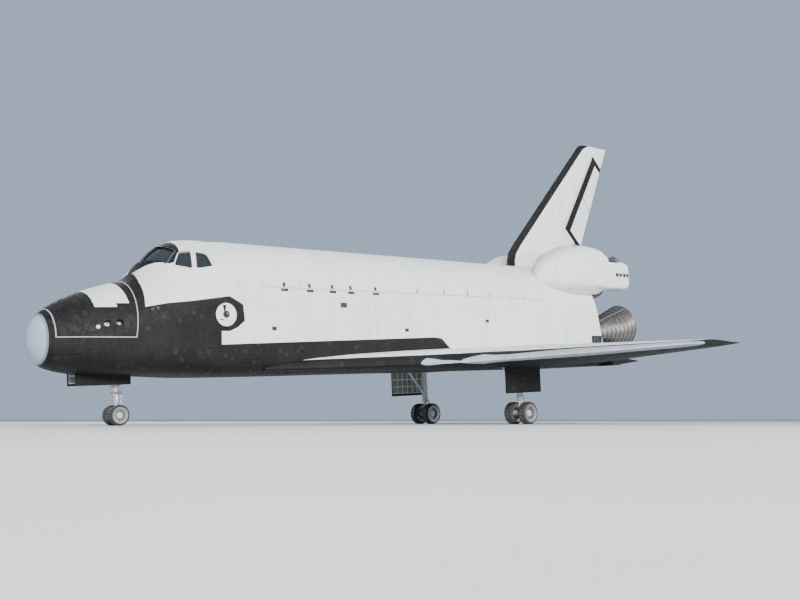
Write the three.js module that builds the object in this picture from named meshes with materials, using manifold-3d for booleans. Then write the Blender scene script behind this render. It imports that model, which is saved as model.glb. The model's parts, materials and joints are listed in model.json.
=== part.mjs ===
// A winged space shuttle orbiter standing on its wheels, as an assembly of separate parts.
// Millimetres, +Z up, nose toward -X, starboard toward +Y, origin on the floor at the box centre.
// The shapes are drawn level, with x from the nose tip and z from the flat belly,
// and every part is then laid on the ground with the nose-down pitch of the parked vehicle.
import * as THREE from 'three';
import { mergeVertices } from 'three/addons/utils/BufferGeometryUtils.js';
import Module from 'manifold-3d';

const wasm = await Module();
wasm.setup();

// Stations are in inches along, across and above, as on structure drawings
const INCH = 25.4;
const NOSE_STATION = 238;
const BELLY_HEIGHT = 277;
const alongAt = (station) => (station - NOSE_STATION) * INCH;
const acrossAt = (buttock) => buttock * INCH;
const aboveAt = (height) => (height - BELLY_HEIGHT) * INCH;

// How the vehicle stands
const PARKED_PITCH = THREE.MathUtils.degToRad(3);
const CENTRE_SHIFT = -18205;
const BELLY_CLEARANCE = 1599.6;

// Gaps between parts
const SEAM = 0.3;
const RUNNING_GAP = 0.4;
const DOOR_GAP = 10;

// Cutters reach this far past what they cut
const BEYOND = 9000;

// Body
const RING_POINTS = 40;
const LINER_POINTS = 24;
const SKIN = 75;
const CAP_STATION = 256;
const BAY_START = 582;
const CABIN_END = BAY_START - SEAM / INCH;
const BAY_END = 1307;
const TAIL_END = 1526;
const BAY_RADIUS = 92;
const BAY_AXIS_HEIGHT = 400;
const SILL_HEIGHT = 420;
const BAY_DOOR_THICKNESS = 70;

// Cabin
const CABIN_FRONT = 392;
const CABIN_BACK = 574;
const CABIN_BOTTOM = 326;
const FLIGHT_DECK = 414;
const MID_DECK = 330;
const FLOOR_THICKNESS = 60;
const GLASS_THICKNESS = 14;
const HATCH = { station: 514, height: 373, radius: 20 };
const WINDOW_CORNER = 4;

// Sockets under the belly where the vehicle is held from below
const SOCKET_RADIUS = 130;
const SOCKET_FLARE = 1;
const SOCKET_START = -200;
const FRONT_SOCKET = { station: 412, top: 190 };
const REAR_SOCKET = { station: 1317, across: 88, top: 60 };

// Tail
const BASE_STATION_LOW = 1514;
const BASE_STATION_HIGH = 1465;
const BASE_HEIGHT_HIGH = 503;
const FLAP_HINGE = { station: 1532, height: 287, radius: 9, halfSpan: 122, chord: 81 };

// Wing
const ELEVON_HINGE = 1387;
const ELEVON_SPANS = { inner: 115, split: 312.5, outer: 464 };
const ELEVON_UP = THREE.MathUtils.degToRad(35);

// Fin
const RUDDER = { low: 607, high: 786, hingeFraction: 0.6, skin: 40 };

// Engines
const SHIELD_RADIUS = 50;
const MAIN_ENGINES = [
  { name: 'main_engine_upper', station: 1445, across: 0, height: 443, up: 16, out: 0 },
  { name: 'main_engine_left', station: 1468.2, across: -53, height: 342.6, up: 10, out: -3.5 },
  { name: 'main_engine_right', station: 1468.2, across: 53, height: 342.6, up: 10, out: 3.5 },
];
const POD_ENGINE = { station: 1518, across: 88, height: 492, up: 15.8, out: 6.5 };

// Landing gear, with axle heights that put each tyre on the floor
const NOSE_GEAR = { station: 377, tyreRadius: 406, tyreWidth: 223, tyreAcross: 279 };
const MAIN_GEAR = { station: 1172, across: 136, tyreRadius: 565, tyreWidth: 406, tyreAcross: 457 };

function table(columns, values) {
  const names = columns.split(' ');
  return values.map((row) => Object.fromEntries(names.map((name, i) => [name, row[i]])));
}

// Body sections: widest at the waist, with separate rounding powers above and below it
const BODY = table('station half floor roof waist upper lower', [
  [238.4, 5, 334, 343, 338, 2, 2],
  [240, 13, 324, 352, 338, 2, 2],
  [244, 22, 315, 361, 338, 2, 2.05],
  [250, 32, 306, 371, 338, 2, 2.1],
  [262, 44, 298, 383, 338, 2, 2.2],
  [280, 55, 292, 395, 339, 2, 2.4],
  [300, 64, 288.5, 405, 340, 2, 2.6],
  [325, 73, 286, 414.5, 342, 2, 2.9],
  [350, 80, 284.7, 422, 345, 2, 3.2],
  [378, 87, 284, 429.5, 349, 1.95, 3.6],
  [392, 89.7, 283.4, 434, 352, 1.9, 3.8],
  [404, 91.8, 283, 444, 355, 1.85, 4],
  [420, 94.5, 282.2, 463, 359, 1.8, 4.3],
  [436, 97, 281.4, 480, 363, 1.8, 4.6],
  [455, 99.5, 280.3, 493, 370, 1.85, 4.9],
  [475, 101.5, 279.2, 500.5, 378, 1.9, 5.2],
  [500, 103.3, 278.2, 503.2, 388, 1.97, 5.6],
  [540, 104.7, 277.3, 504, 397, 2, 6],
  [582, 105, 277, 504, 400, 2, 6.5],
  [640, 105, 277, 504, 400, 2, 9],
  [700, 105, 277, 504, 400, 2, 14],
  [1307, 105, 277, 504, 400, 2, 14],
  [1526, 105, 277, 504, 400, 2, 14],
]);
const BODY_STATIONS = [
  238.4, 239.6, 243, 248, 256, 268, 285, 305, 330, 360, 388, 400, 412, 424,
  436, 448, 462, 478, 500, 535, 582, 640, 700, 1307, 1526,
];

// Wing stations: distances above and below the wing plane, crest as a fraction of the chord
const WING = table('span lead trail plane above below crest', [
  [84, 560, 1510.3, 284.6, 30, 7.6, 0.62],
  [104, 605, 1506.8, 285.8, 32, 8.8, 0.6],
  [118, 693, 1504.3, 286.7, 32.5, 9.7, 0.57],
  [132, 781, 1501.8, 287.5, 32.5, 10.5, 0.54],
  [146, 868, 1499.3, 288.4, 32, 11.4, 0.5],
  [158, 932, 1497.2, 289.1, 31.5, 12.1, 0.46],
  [168, 973, 1495.5, 289.7, 31, 12.7, 0.43],
  [180, 1003, 1493.3, 290.5, 30.5, 13.5, 0.41],
  [196, 1028, 1490.5, 291.5, 29.5, 13.5, 0.4],
  [215, 1050, 1487.1, 292.6, 28, 13.2, 0.4],
  [312.5, 1148.5, 1469.9, 298.5, 19.5, 11.2, 0.4],
  [440, 1276, 1447.2, 306.3, 9.8, 7.6, 0.4],
  [460, 1296.5, 1443.7, 307.5, 7.6, 6.2, 0.4],
  [466, 1306, 1442.6, 307.9, 4.6, 4, 0.4],
  [468.3, 1318, 1442.2, 308, 1.2, 1.2, 0.4],
]);

// Fin stations: the leading edge is steep where it rises from the body
const FIN = table('height lead trail', [
  [494, 1309, 1545],
  [518, 1309.5, 1556.8],
  [534, 1315, 1564.7],
  [552, 1330.5, 1573.5],
  [786, 1563.9, 1688.9],
  [808, 1586, 1699.7],
  [815, 1596, 1703.2],
  [818.7, 1612, 1705],
]);
const FIN_WEDGE = Math.tan(THREE.MathUtils.degToRad(5));

// Pod stations: a rounded body on the shoulder of the tail
const POD = table('station across height halfWidth halfHeight', [
  [1310, 78, 476, 6, 6],
  [1320, 79.3, 479.5, 20, 22],
  [1345, 82, 485.5, 34, 39],
  [1390, 86, 490.5, 45, 52],
  [1450, 88, 491.5, 49, 56.5],
  [1496, 88, 490.5, 48, 53],
  [1511, 88, 490, 44, 47],
  [1517, 88, 490, 38, 41],
]);
const STINGER = table('station across height halfWidth halfHeight', [
  [1440, 116, 482, 17, 30],
  [1500, 117, 481, 20, 33],
  [1560, 117.5, 480, 20, 32],
  [1574, 117.5, 480, 18, 29],
  [1578, 117.5, 480, 15, 25],
]);

// Engine bells as distance behind the gimbal and radius
const MAIN_BELL = table('behind radius', [
  [14, 11], [24, 5.5], [36, 11], [60, 22.5], [92, 32.5], [130, 41], [168, 47],
]);
const POD_BELL = table('behind radius', [[-1.98, 7], [6, 5.5], [20, 11.5], [38, 17.5], [60, 21.5]]);

// Solid helpers

function solidOf(geometry) {
  const bare = geometry.index ? geometry.toNonIndexed() : geometry.clone();
  bare.deleteAttribute('normal');
  bare.deleteAttribute('uv');
  const merged = mergeVertices(bare, 1e-3);
  const positions = new Float32Array(merged.attributes.position.array);
  const indices = new Uint32Array(merged.index.array);
  if (signedVolume(positions, indices) < 0) {
    for (let i = 0; i < indices.length; i += 3) {
      [indices[i + 1], indices[i + 2]] = [indices[i + 2], indices[i + 1]];
    }
  }
  return new wasm.Manifold(new wasm.Mesh({ numProp: 3, vertProperties: positions, triVerts: indices }));
}

function signedVolume(positions, indices) {
  const a = new THREE.Vector3();
  const b = new THREE.Vector3();
  const c = new THREE.Vector3();
  let volume = 0;
  for (let i = 0; i < indices.length; i += 3) {
    a.fromArray(positions, indices[i] * 3);
    b.fromArray(positions, indices[i + 1] * 3);
    c.fromArray(positions, indices[i + 2] * 3);
    volume += a.dot(b.cross(c)) / 6;
  }
  return volume;
}

function geometryOf(solid) {
  const mesh = solid.getMesh();
  const geometry = new THREE.BufferGeometry();
  geometry.setAttribute('position', new THREE.BufferAttribute(mesh.vertProperties, 3));
  geometry.setIndex(new THREE.BufferAttribute(mesh.triVerts, 1));
  return geometry;
}

// Joins and cuts leave points that all but meet and hair-thin faces. Points closer than the weld
// become one, and a face thinner than the hair is turned about its long edge into its neighbour.
const WELD = 0.2;
const HAIR = 0.02;
function tidied(geometry) {
  const welded = mergeVertices(mergeVertices(geometry, WELD), WELD * 0.7);
  const position = welded.attributes.position;
  const points = Array.from({ length: position.count }, (_, i) => (
    new THREE.Vector3().fromBufferAttribute(position, i)
  ));
  const faces = [];
  for (let i = 0; i < welded.index.count; i += 3) {
    const face = [0, 1, 2].map((k) => welded.index.getX(i + k));
    if (new Set(face).size === 3) faces.push(face);
  }
  const edgeKey = (a, b) => a * points.length + b;
  const ownerOf = new Map();
  const record = (f) => faces[f].forEach((a, k) => ownerOf.set(edgeKey(a, faces[f][(k + 1) % 3]), f));
  faces.forEach((_, f) => record(f));
  const long = (face, k) => points[face[k]].distanceTo(points[face[(k + 1) % 3]]);
  for (let pass = 0; pass < 4; pass += 1) {
    faces.forEach((face, f) => {
      const k = [0, 1, 2].reduce((best, i) => (long(face, i) > long(face, best) ? i : best), 0);
      const [from, to, tip] = [face[k], face[(k + 1) % 3], face[(k + 2) % 3]];
      const along = points[to].clone().sub(points[from]);
      const height = along.clone().cross(points[tip].clone().sub(points[from])).length() / along.length();
      const other = ownerOf.get(edgeKey(to, from));
      if (height > HAIR || other === undefined || other === f) return;
      const far = faces[other].find((v) => v !== from && v !== to);
      if (far === tip || ownerOf.has(edgeKey(tip, far)) || ownerOf.has(edgeKey(far, tip))) return;
      ownerOf.delete(edgeKey(from, to));
      ownerOf.delete(edgeKey(to, from));
      faces[f] = [tip, from, far];
      faces[other] = [far, to, tip];
      record(f);
      record(other);
    });
  }
  welded.setIndex(faces.flat());
  return welded;
}

function joined(...solids) {
  return solids.reduce((sum, solid) => sum.add(solid));
}

function cut(solid, ...tools) {
  return tools.reduce((rest, tool) => rest.subtract(tool), solid);
}

function moved(geometry, matrix) {
  return geometry.clone().applyMatrix4(matrix);
}

function shifted(solid, x, y, z) {
  return solidOf(geometryOf(solid).translate(x, y, z));
}

function mirrored(solid) {
  return solidOf(moved(geometryOf(solid), new THREE.Matrix4().makeScale(1, -1, 1)));
}

function boxSolid(x0, x1, y0, y1, z0, z1) {
  const geometry = new THREE.BoxGeometry(x1 - x0, y1 - y0, z1 - z0);
  geometry.translate((x0 + x1) / 2, (y0 + y1) / 2, (z0 + z1) / 2);
  return solidOf(geometry);
}

function slabSolid(fromStation, toStation) {
  const far = 20000;
  return boxSolid(alongAt(fromStation), alongAt(toStation), -far, far, -far, far);
}

// A round bar or cone between two points
function barSolid(from, to, radiusFrom, radiusTo = radiusFrom, segments = 12) {
  const start = new THREE.Vector3(...from);
  const end = new THREE.Vector3(...to);
  const axis = end.clone().sub(start);
  const geometry = new THREE.CylinderGeometry(radiusTo, radiusFrom, axis.length(), segments);
  geometry.translate(0, axis.length() / 2, 0);
  const turn = new THREE.Quaternion().setFromUnitVectors(new THREE.Vector3(0, 1, 0), axis.normalize());
  geometry.applyQuaternion(turn);
  geometry.translate(start.x, start.y, start.z);
  return solidOf(geometry);
}

// A flat outline in the x and z plane, given depth across
function profileSolid(outline, y0, y1) {
  const shape = new THREE.Shape(outline.map(([x, z]) => new THREE.Vector2(x, z)));
  const geometry = new THREE.ExtrudeGeometry(shape, { depth: y1 - y0, bevelEnabled: false });
  geometry.rotateX(Math.PI / 2);
  geometry.translate(0, y1, 0);
  return solidOf(geometry);
}

// A flat outline in plan, given height
function planSolid(outline, z0, z1) {
  const shape = new THREE.Shape(outline.map(([x, y]) => new THREE.Vector2(x, y)));
  const geometry = new THREE.ExtrudeGeometry(shape, { depth: z1 - z0, bevelEnabled: false });
  geometry.translate(0, 0, z0);
  return solidOf(geometry);
}

// A flat outline across and above, given length
function crossSolid(outline, x0, x1) {
  const shape = new THREE.Shape(outline.map(([y, z]) => new THREE.Vector2(y, z)));
  const geometry = new THREE.ExtrudeGeometry(shape, { depth: x1 - x0, bevelEnabled: false });
  const turn = new THREE.Matrix4().makeBasis(
    new THREE.Vector3(0, 1, 0), new THREE.Vector3(0, 0, 1), new THREE.Vector3(1, 0, 0),
  ).setPosition(x0, 0, 0);
  return solidOf(moved(geometry, turn));
}

// Rings of equal length joined in turn, with a fan at each end; both sides split their faces alike
function loftSolid(rings) {
  const count = rings[0].length;
  const positions = rings.flat(2);
  const indices = [];
  for (let r = 0; r + 1 < rings.length; r += 1) {
    for (let i = 0; i < count; i += 1) {
      const next = (i + 1) % count;
      const a = r * count + i;
      const b = r * count + next;
      const c = (r + 1) * count + next;
      const d = (r + 1) * count + i;
      const port = positions[a * 3 + 1] + positions[b * 3 + 1] < 0;
      if (port) indices.push(a, b, d, b, c, d);
      else indices.push(a, b, c, a, c, d);
    }
  }
  for (const last of [false, true]) {
    const start = last ? (rings.length - 1) * count : 0;
    const ring = last ? rings[rings.length - 1] : rings[0];
    const middle = [0, 1, 2].map((k) => ring.reduce((sum, point) => sum + point[k], 0) / count);
    const centre = positions.length / 3;
    positions.push(...middle);
    for (let i = 0; i < count; i += 1) {
      const next = (i + 1) % count;
      if (last) indices.push(start + i, start + next, centre);
      else indices.push(start + next, start + i, centre);
    }
  }
  const geometry = new THREE.BufferGeometry();
  geometry.setAttribute('position', new THREE.Float32BufferAttribute(positions, 3));
  geometry.setIndex(indices);
  return solidOf(geometry);
}

// A smooth row of a table between its given rows
function rowAt(rows, key, value) {
  const columns = Object.keys(rows[0]);
  let i = 0;
  while (i < rows.length - 2 && rows[i + 1][key] < value) i += 1;
  const [p0, p1] = [rows[i], rows[i + 1]];
  const before = rows[Math.max(i - 1, 0)];
  const after = rows[Math.min(i + 2, rows.length - 1)];
  const gap = p1[key] - p0[key];
  const t = THREE.MathUtils.clamp((value - p0[key]) / gap, 0, 1);
  const row = {};
  for (const column of columns) {
    const slope = (p1[column] - p0[column]) / gap;
    const slopeIn = (p1[column] - before[column]) / (p1[key] - before[key]);
    const slopeOut = (after[column] - p0[column]) / (after[key] - p0[key]);
    const limit = (m) => (slope === 0 ? 0 : slope * THREE.MathUtils.clamp(m / slope, 0, 3));
    const m0 = limit(slopeIn) * gap;
    const m1 = limit(slopeOut) * gap;
    const h0 = (2 * t ** 3 - 3 * t ** 2 + 1) * p0[column] + (t ** 3 - 2 * t ** 2 + t) * m0;
    row[column] = h0 + (3 * t ** 2 - 2 * t ** 3) * p1[column] + (t ** 3 - t ** 2) * m1;
  }
  row[key] = value;
  return row;
}

const signedPower = (value, power) => Math.sign(value) * Math.abs(value) ** power;

// Body

function bodyRing(row, inset) {
  const ring = [];
  const points = inset > SKIN / 2 && row.station < BAY_START ? LINER_POINTS : RING_POINTS;
  for (let i = 0; i < points; i += 1) {
    const angle = (2 * Math.PI * i) / points;
    const rise = Math.sin(angle);
    const power = 2 / (rise >= 0 ? row.upper : row.lower);
    const reach = (rise >= 0 ? row.roof - row.waist : row.waist - row.floor) * INCH - inset;
    const y = (row.half * INCH - inset) * signedPower(Math.cos(angle), power);
    ring.push([alongAt(row.station), y, aboveAt(row.waist) + reach * signedPower(rise, power)]);
  }
  return ring;
}

function bodySolid(inset, from, to) {
  const inside = BODY_STATIONS.filter((station) => station > from && station < to);
  const stations = [from, ...inside, to];
  return loftSolid(stations.map((station) => bodyRing(rowAt(BODY, 'station', station), inset)));
}

const body = bodySolid(0, BODY_STATIONS[0], TAIL_END);
const bodyProud = bodySolid(-SEAM, 560, TAIL_END);

const noseCap = bodySolid(0, BODY_STATIONS[0], CAP_STATION);

// The thruster module is the top of the nose, above a level joint
const moduleSide = (grow) => profileSolid([
  [alongAt(264) - grow, aboveAt(340) - grow],
  [alongAt(370) + grow, aboveAt(338) - grow],
  [alongAt(386) + grow, aboveAt(480)],
  [alongAt(264) - grow, aboveAt(480)],
], -BEYOND, BEYOND);
const SIDE_THRUSTERS = table('station height', [[330, 360], [347, 361]]);
const TOP_THRUSTERS = table('station across', [[330, 14], [346, 0], [330, -14]]);
const THRUSTER_RADIUS = 5;
const SIDE_BORE = { inner: 60, outer: 110, drop: 3, rise: 6 };
const TOP_BORE = { bottom: 385, top: 440 };
const sideThrusterHoles = [-1, 1].flatMap((side) => SIDE_THRUSTERS.map((hole) => barSolid(
  [alongAt(hole.station), side * acrossAt(SIDE_BORE.inner), aboveAt(hole.height - SIDE_BORE.drop)],
  [alongAt(hole.station), side * acrossAt(SIDE_BORE.outer), aboveAt(hole.height + SIDE_BORE.rise)],
  THRUSTER_RADIUS * INCH,
)));
const topThrusterHoles = TOP_THRUSTERS.map((hole) => barSolid(
  [alongAt(hole.station), acrossAt(hole.across), aboveAt(TOP_BORE.bottom)],
  [alongAt(hole.station), acrossAt(hole.across), aboveAt(TOP_BORE.top)],
  THRUSTER_RADIUS * INCH,
));
const thrusterModule = cut(body.intersect(moduleSide(0)), ...sideThrusterHoles, ...topThrusterHoles);

// Nose wheel well, open below
const NOSE_WELL = { front: 300, back: 398, half: 15, top: 322 };
const noseWell = boxSolid(
  alongAt(NOSE_WELL.front), alongAt(NOSE_WELL.back),
  -acrossAt(NOSE_WELL.half), acrossAt(NOSE_WELL.half),
  -1000, aboveAt(NOSE_WELL.top),
);

const cabinSpace = bodySolid(SKIN, CABIN_FRONT, CABIN_BACK).intersect(
  boxSolid(0, alongAt(BAY_START), -BEYOND, BEYOND, aboveAt(CABIN_BOTTOM), BEYOND),
);

// The roof's height over a place on the body
function roofAt(station, across) {
  const row = rowAt(BODY, 'station', station);
  return row.waist + (row.roof - row.waist) * (1 - (across / row.half) ** row.upper) ** (1 / row.upper);
}

// Windscreen panes by the stations and distances across of their corners, on the body's surface:
// low inner, low outer, high outer, high inner
const PANES = table('x0 y0 x1 y1 x2 y2 x3 y3', [
  [420, 4, 439, 54, 459, 45, 449, 4],
  [446, 65, 469, 80, 479, 57, 463, 51],
  [475, 82, 503, 86, 501, 68, 486, 60],
]);

// A cutter square to a pane, with rounded corners
function paneSolid(pane, side) {
  const corners = [0, 1, 2, 3].map((k) => {
    const [station, across] = [pane[`x${k}`], pane[`y${k}`]];
    return new THREE.Vector3(
      alongAt(station), acrossAt(across) * side, aboveAt(roofAt(station, across)),
    );
  });
  const middle = corners.reduce((sum, corner) => sum.clone().add(corner)).multiplyScalar(0.25);
  const right = corners[1].clone().sub(corners[0]).normalize();
  const rise = corners[3].clone().sub(corners[1]);
  const out = corners[2].clone().sub(corners[0]).cross(rise).normalize();
  const up = out.clone().cross(right);
  const flat = corners.map((corner) => {
    const offset = corner.clone().sub(middle);
    return new THREE.Vector2(offset.dot(right), offset.dot(up));
  });
  const shape = new THREE.Shape();
  flat.forEach((corner, k) => {
    const toward = (other) => corner.clone().add(
      other.clone().sub(corner).setLength(WINDOW_CORNER * INCH),
    );
    const [before, after] = [toward(flat[(k + 3) % 4]), toward(flat[(k + 1) % 4])];
    if (k === 0) shape.moveTo(before.x, before.y);
    else shape.lineTo(before.x, before.y);
    shape.quadraticCurveTo(corner.x, corner.y, after.x, after.y);
  });
  shape.closePath();
  const depth = 900;
  const geometry = new THREE.ExtrudeGeometry(shape, { depth, bevelEnabled: false, curveSegments: 3 });
  geometry.translate(0, 0, -depth / 2);
  const frame = new THREE.Matrix4().makeBasis(right, up, out).setPosition(middle);
  return solidOf(moved(geometry, frame));
}

const windscreenCuts = [-1, 1].flatMap((side) => PANES.map((pane) => paneSolid(pane, side)));
const overheadCuts = [-1, 1].map((side) => {
  const [near, far] = [acrossAt(6) * side, acrossAt(28) * side];
  return boxSolid(
    alongAt(522), alongAt(548), Math.min(near, far), Math.max(near, far), aboveAt(480), BEYOND,
  );
});
const bayViewCuts = [-1, 1].map((side) => {
  const [near, far] = [acrossAt(7) * side, acrossAt(21) * side];
  return boxSolid(
    alongAt(560), alongAt(600), Math.min(near, far), Math.max(near, far), aboveAt(458), aboveAt(474),
  );
});

const hatchBar = (radius) => barSolid(
  [alongAt(HATCH.station), -acrossAt(80), aboveAt(HATCH.height)],
  [alongAt(HATCH.station), -acrossAt(130), aboveAt(HATCH.height)],
  radius, radius, 32,
);
const hatchHole = hatchBar(HATCH.radius * INCH + DOOR_GAP);
const shellFront = bodySolid(0, CAP_STATION + SEAM / INCH, CABIN_END);
const forwardSocket = barSolid(
  [alongAt(FRONT_SOCKET.station), 0, SOCKET_START], [alongAt(FRONT_SOCKET.station), 0, FRONT_SOCKET.top],
  SOCKET_RADIUS + SOCKET_FLARE, SOCKET_RADIUS, 24,
);
const forwardBody = cut(
  shellFront, moduleSide(SEAM), noseWell, cabinSpace, hatchHole, forwardSocket,
  ...windscreenCuts, ...overheadCuts, ...bayViewCuts,
);
const sideHatch = body
  .subtract(bodySolid(SKIN, 440, 570))
  .intersect(hatchBar(HATCH.radius * INCH));

// Glass lies behind the cut panes as one bent strip
const liner = bodySolid(SKIN + 0.5, CABIN_FRONT + 0.5, CABIN_BACK - 0.5)
  .subtract(bodySolid(SKIN + 0.5 + GLASS_THICKNESS, CABIN_FRONT - 30, CABIN_BACK + 30));
const windscreenGlass = liner.intersect(profileSolid([
  [alongAt(408), aboveAt(442)],
  [alongAt(511), aboveAt(442)],
  [alongAt(511), aboveAt(486)],
  [alongAt(470), aboveAt(488)],
  [alongAt(458), aboveAt(510)],
  [alongAt(408), aboveAt(510)],
], -BEYOND, BEYOND));
const overheadGlass = liner.intersect(
  boxSolid(alongAt(518), alongAt(552), -acrossAt(31), acrossAt(31), aboveAt(470), BEYOND),
);
const bayViewGlass = boxSolid(
  alongAt(CABIN_BACK) - 15, alongAt(CABIN_BACK) - 1,
  -acrossAt(24), acrossAt(24), aboveAt(455), aboveAt(477),
);

function deckSolid(height, from) {
  const top = aboveAt(height);
  return bodySolid(SKIN + 0.5, CABIN_FRONT, CABIN_BACK - 0.5).intersect(
    boxSolid(alongAt(from), alongAt(CABIN_BACK), -BEYOND, BEYOND, top - FLOOR_THICKNESS, top),
  );
}
const flightDeck = deckSolid(FLIGHT_DECK, 424);
const midDeck = deckSolid(MID_DECK, 400);
const DASHBOARD = { front: 428, foot: 438, lip: 444, frontTop: 438, lipTop: 440, half: 52 };
const dashboard = profileSolid([
  [alongAt(DASHBOARD.front), aboveAt(FLIGHT_DECK) + SEAM],
  [alongAt(DASHBOARD.foot), aboveAt(FLIGHT_DECK) + SEAM],
  [alongAt(DASHBOARD.lip), aboveAt(DASHBOARD.lipTop)],
  [alongAt(DASHBOARD.front), aboveAt(DASHBOARD.frontTop)],
], -acrossAt(DASHBOARD.half), acrossAt(DASHBOARD.half));

// Seat base, back and headrest
const SEAT_ACROSS = 25;
const SEAT_PARTS = table('front back half bottom top', [
  [466, 486, 10, FLIGHT_DECK + SEAM / INCH, 430],
  [483, 488, 10, 428, 460],
  [483, 487, 5.118, 459, 468],
]);
const seatAt = (side) => shifted(joined(...SEAT_PARTS.map((row) => boxSolid(
  alongAt(row.front), alongAt(row.back), -acrossAt(row.half), acrossAt(row.half),
  aboveAt(row.bottom), aboveAt(row.top),
))), 0, side * acrossAt(SEAT_ACROSS), 0);

// Hinge lugs along x: one on the fixed side and one on the moving side, face to face.
// The axis stands off the skin, and side is the sign of the outward direction.
const LUG_OFFSET = 30;
const LUG_WIDTH = 60;
const LUG_RADIUS = 20;
function lugSolid(x0, x1, axis, side, arm) {
  const outline = arm.map(([out, up]) => [axis.y + side * out, axis.z + up]);
  return joined(
    barSolid([x0, axis.y, axis.z], [x1, axis.y, axis.z], LUG_RADIUS, LUG_RADIUS, 12),
    crossSolid(outline, x0, x1),
  );
}
const FIXED_ARM = [[8, 0], [-8, 10], [-40, -12], [-40, -90], [-29, -90], [8, -12]];
const MOVING_ARM = [[10, -5], [10, 12], [-60, 90], [-60, 34], [-8, -5]];

const hatchAxis = {
  y: -(acrossAt(rowAt(BODY, 'station', HATCH.station).half) + LUG_OFFSET),
  z: aboveAt(HATCH.height - HATCH.radius) - 5,
};
const hatchX = alongAt(HATCH.station);
const hatchFixedLug = lugSolid(hatchX - 50, hatchX + 50, hatchAxis, -1, FIXED_ARM);
const hatchLugs = [-1, 1].map((end) => {
  const near = hatchX + end * (50 + RUNNING_GAP);
  const far = hatchX + end * 92;
  return lugSolid(Math.min(near, far), Math.max(near, far), hatchAxis, -1, MOVING_ARM);
});
const forwardWithLug = forwardBody.add(hatchFixedLug);
const sideHatchHinged = joined(sideHatch, ...hatchLugs);

// Load space: an open trough with arched doors over it
const bayBore = barSolid(
  [alongAt(BAY_START - 20), 0, aboveAt(BAY_AXIS_HEIGHT)],
  [alongAt(BAY_END + 20), 0, aboveAt(BAY_AXIS_HEIGHT)],
  acrossAt(BAY_RADIUS), acrossAt(BAY_RADIUS), 48,
);
const bayRow = rowAt(BODY, 'station', BAY_START);
const sillShare = (SILL_HEIGHT - bayRow.waist) / (bayRow.roof - bayRow.waist);
const bayAxis = {
  y: acrossAt(bayRow.half * Math.sqrt(1 - sillShare ** 2)) + LUG_OFFSET,
  z: aboveAt(SILL_HEIGHT),
};
const BAY_LUG_STATIONS = [628, 829, 1070, 1238];
const bayLugs = (side, moving) => BAY_LUG_STATIONS.map((station) => {
  const x = alongAt(station) + (moving ? RUNNING_GAP : -LUG_WIDTH);
  const axis = { y: bayAxis.y * side, z: bayAxis.z };
  const end = alongAt(station) + (moving ? LUG_WIDTH : 0);
  return lugSolid(x, end, axis, side, moving ? MOVING_ARM : FIXED_ARM);
});
const midBody = joined(cut(
  bodySolid(0, BAY_START, BAY_END - SEAM / INCH),
  bayBore,
  boxSolid(
    alongAt(BAY_START - 20), alongAt(BAY_END + 20), -BEYOND, BEYOND, aboveAt(SILL_HEIGHT), BEYOND,
  ),
), ...bayLugs(1, false), ...bayLugs(-1, false));
const bayDoorArc = (inset, gapLow, gapHigh) => {
  const row = rowAt(BODY, 'station', BAY_START);
  const across = acrossAt(row.half) - inset;
  const rise = (row.roof - row.waist) * INCH - inset;
  const low = Math.asin((aboveAt(SILL_HEIGHT) - aboveAt(row.waist) + gapLow) / rise);
  const high = Math.acos(gapHigh / across);
  const steps = 12;
  return Array.from({ length: steps + 1 }, (_, i) => {
    const angle = THREE.MathUtils.lerp(low, high, i / steps);
    return [across * Math.cos(angle), aboveAt(row.waist) + rise * Math.sin(angle)];
  });
};
const bayDoorRight = joined(crossSolid(
  [
    ...bayDoorArc(0, DOOR_GAP * 1.5, DOOR_GAP / 2),
    ...bayDoorArc(BAY_DOOR_THICKNESS, DOOR_GAP * 1.5, DOOR_GAP / 2).reverse(),
  ],
  alongAt(BAY_START) + DOOR_GAP, alongAt(BAY_END) - DOOR_GAP,
), ...bayLugs(1, true));

// Tail: the back is a sloping base with a shelf below it for the flap
const basePlane = profileSolid([
  [alongAt(BASE_STATION_HIGH), aboveAt(BASE_HEIGHT_HIGH)],
  [alongAt(BASE_STATION_HIGH) - 400, BEYOND],
  [alongAt(BASE_STATION_LOW) + 3000, BEYOND],
  [alongAt(BASE_STATION_LOW) + 3000, -500],
  [alongAt(BASE_STATION_LOW), -500],
  [alongAt(BASE_STATION_LOW), 0],
], -6000, 6000);
const flapShelf = boxSolid(
  alongAt(1500), alongAt(FLAP_HINGE.station - 4),
  -acrossAt(100), acrossAt(100), 1, aboveAt(FLAP_HINGE.height + 10),
).add(boxSolid(
  alongAt(1508), alongAt(FLAP_HINGE.station - 4),
  -acrossAt(FLAP_HINGE.halfSpan), acrossAt(FLAP_HINGE.halfSpan), 1, aboveAt(FLAP_HINGE.height + 10),
));
const flapLugs = [-1, 1].map((side) => {
  const inner = side * (acrossAt(FLAP_HINGE.halfSpan) + RUNNING_GAP);
  const outer = side * acrossAt(FLAP_HINGE.halfSpan + 2.5);
  return profileSolid([
    [alongAt(1508), 1],
    [alongAt(FLAP_HINGE.station + 3), 1],
    [alongAt(FLAP_HINGE.station + 6), aboveAt(FLAP_HINGE.height - 3)],
    [alongAt(FLAP_HINGE.station + 6), aboveAt(FLAP_HINGE.height + 3)],
    [alongAt(FLAP_HINGE.station), aboveAt(FLAP_HINGE.height + 8)],
    [alongAt(1508), aboveAt(FLAP_HINGE.height + 10)],
  ], Math.min(inner, outer), Math.max(inner, outer));
});
const flapLugRoot = boxSolid(
  alongAt(1508), alongAt(1518), -acrossAt(FLAP_HINGE.halfSpan + 2.5),
  acrossAt(FLAP_HINGE.halfSpan + 2.5), 1, aboveAt(FLAP_HINGE.height + 10),
);
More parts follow.
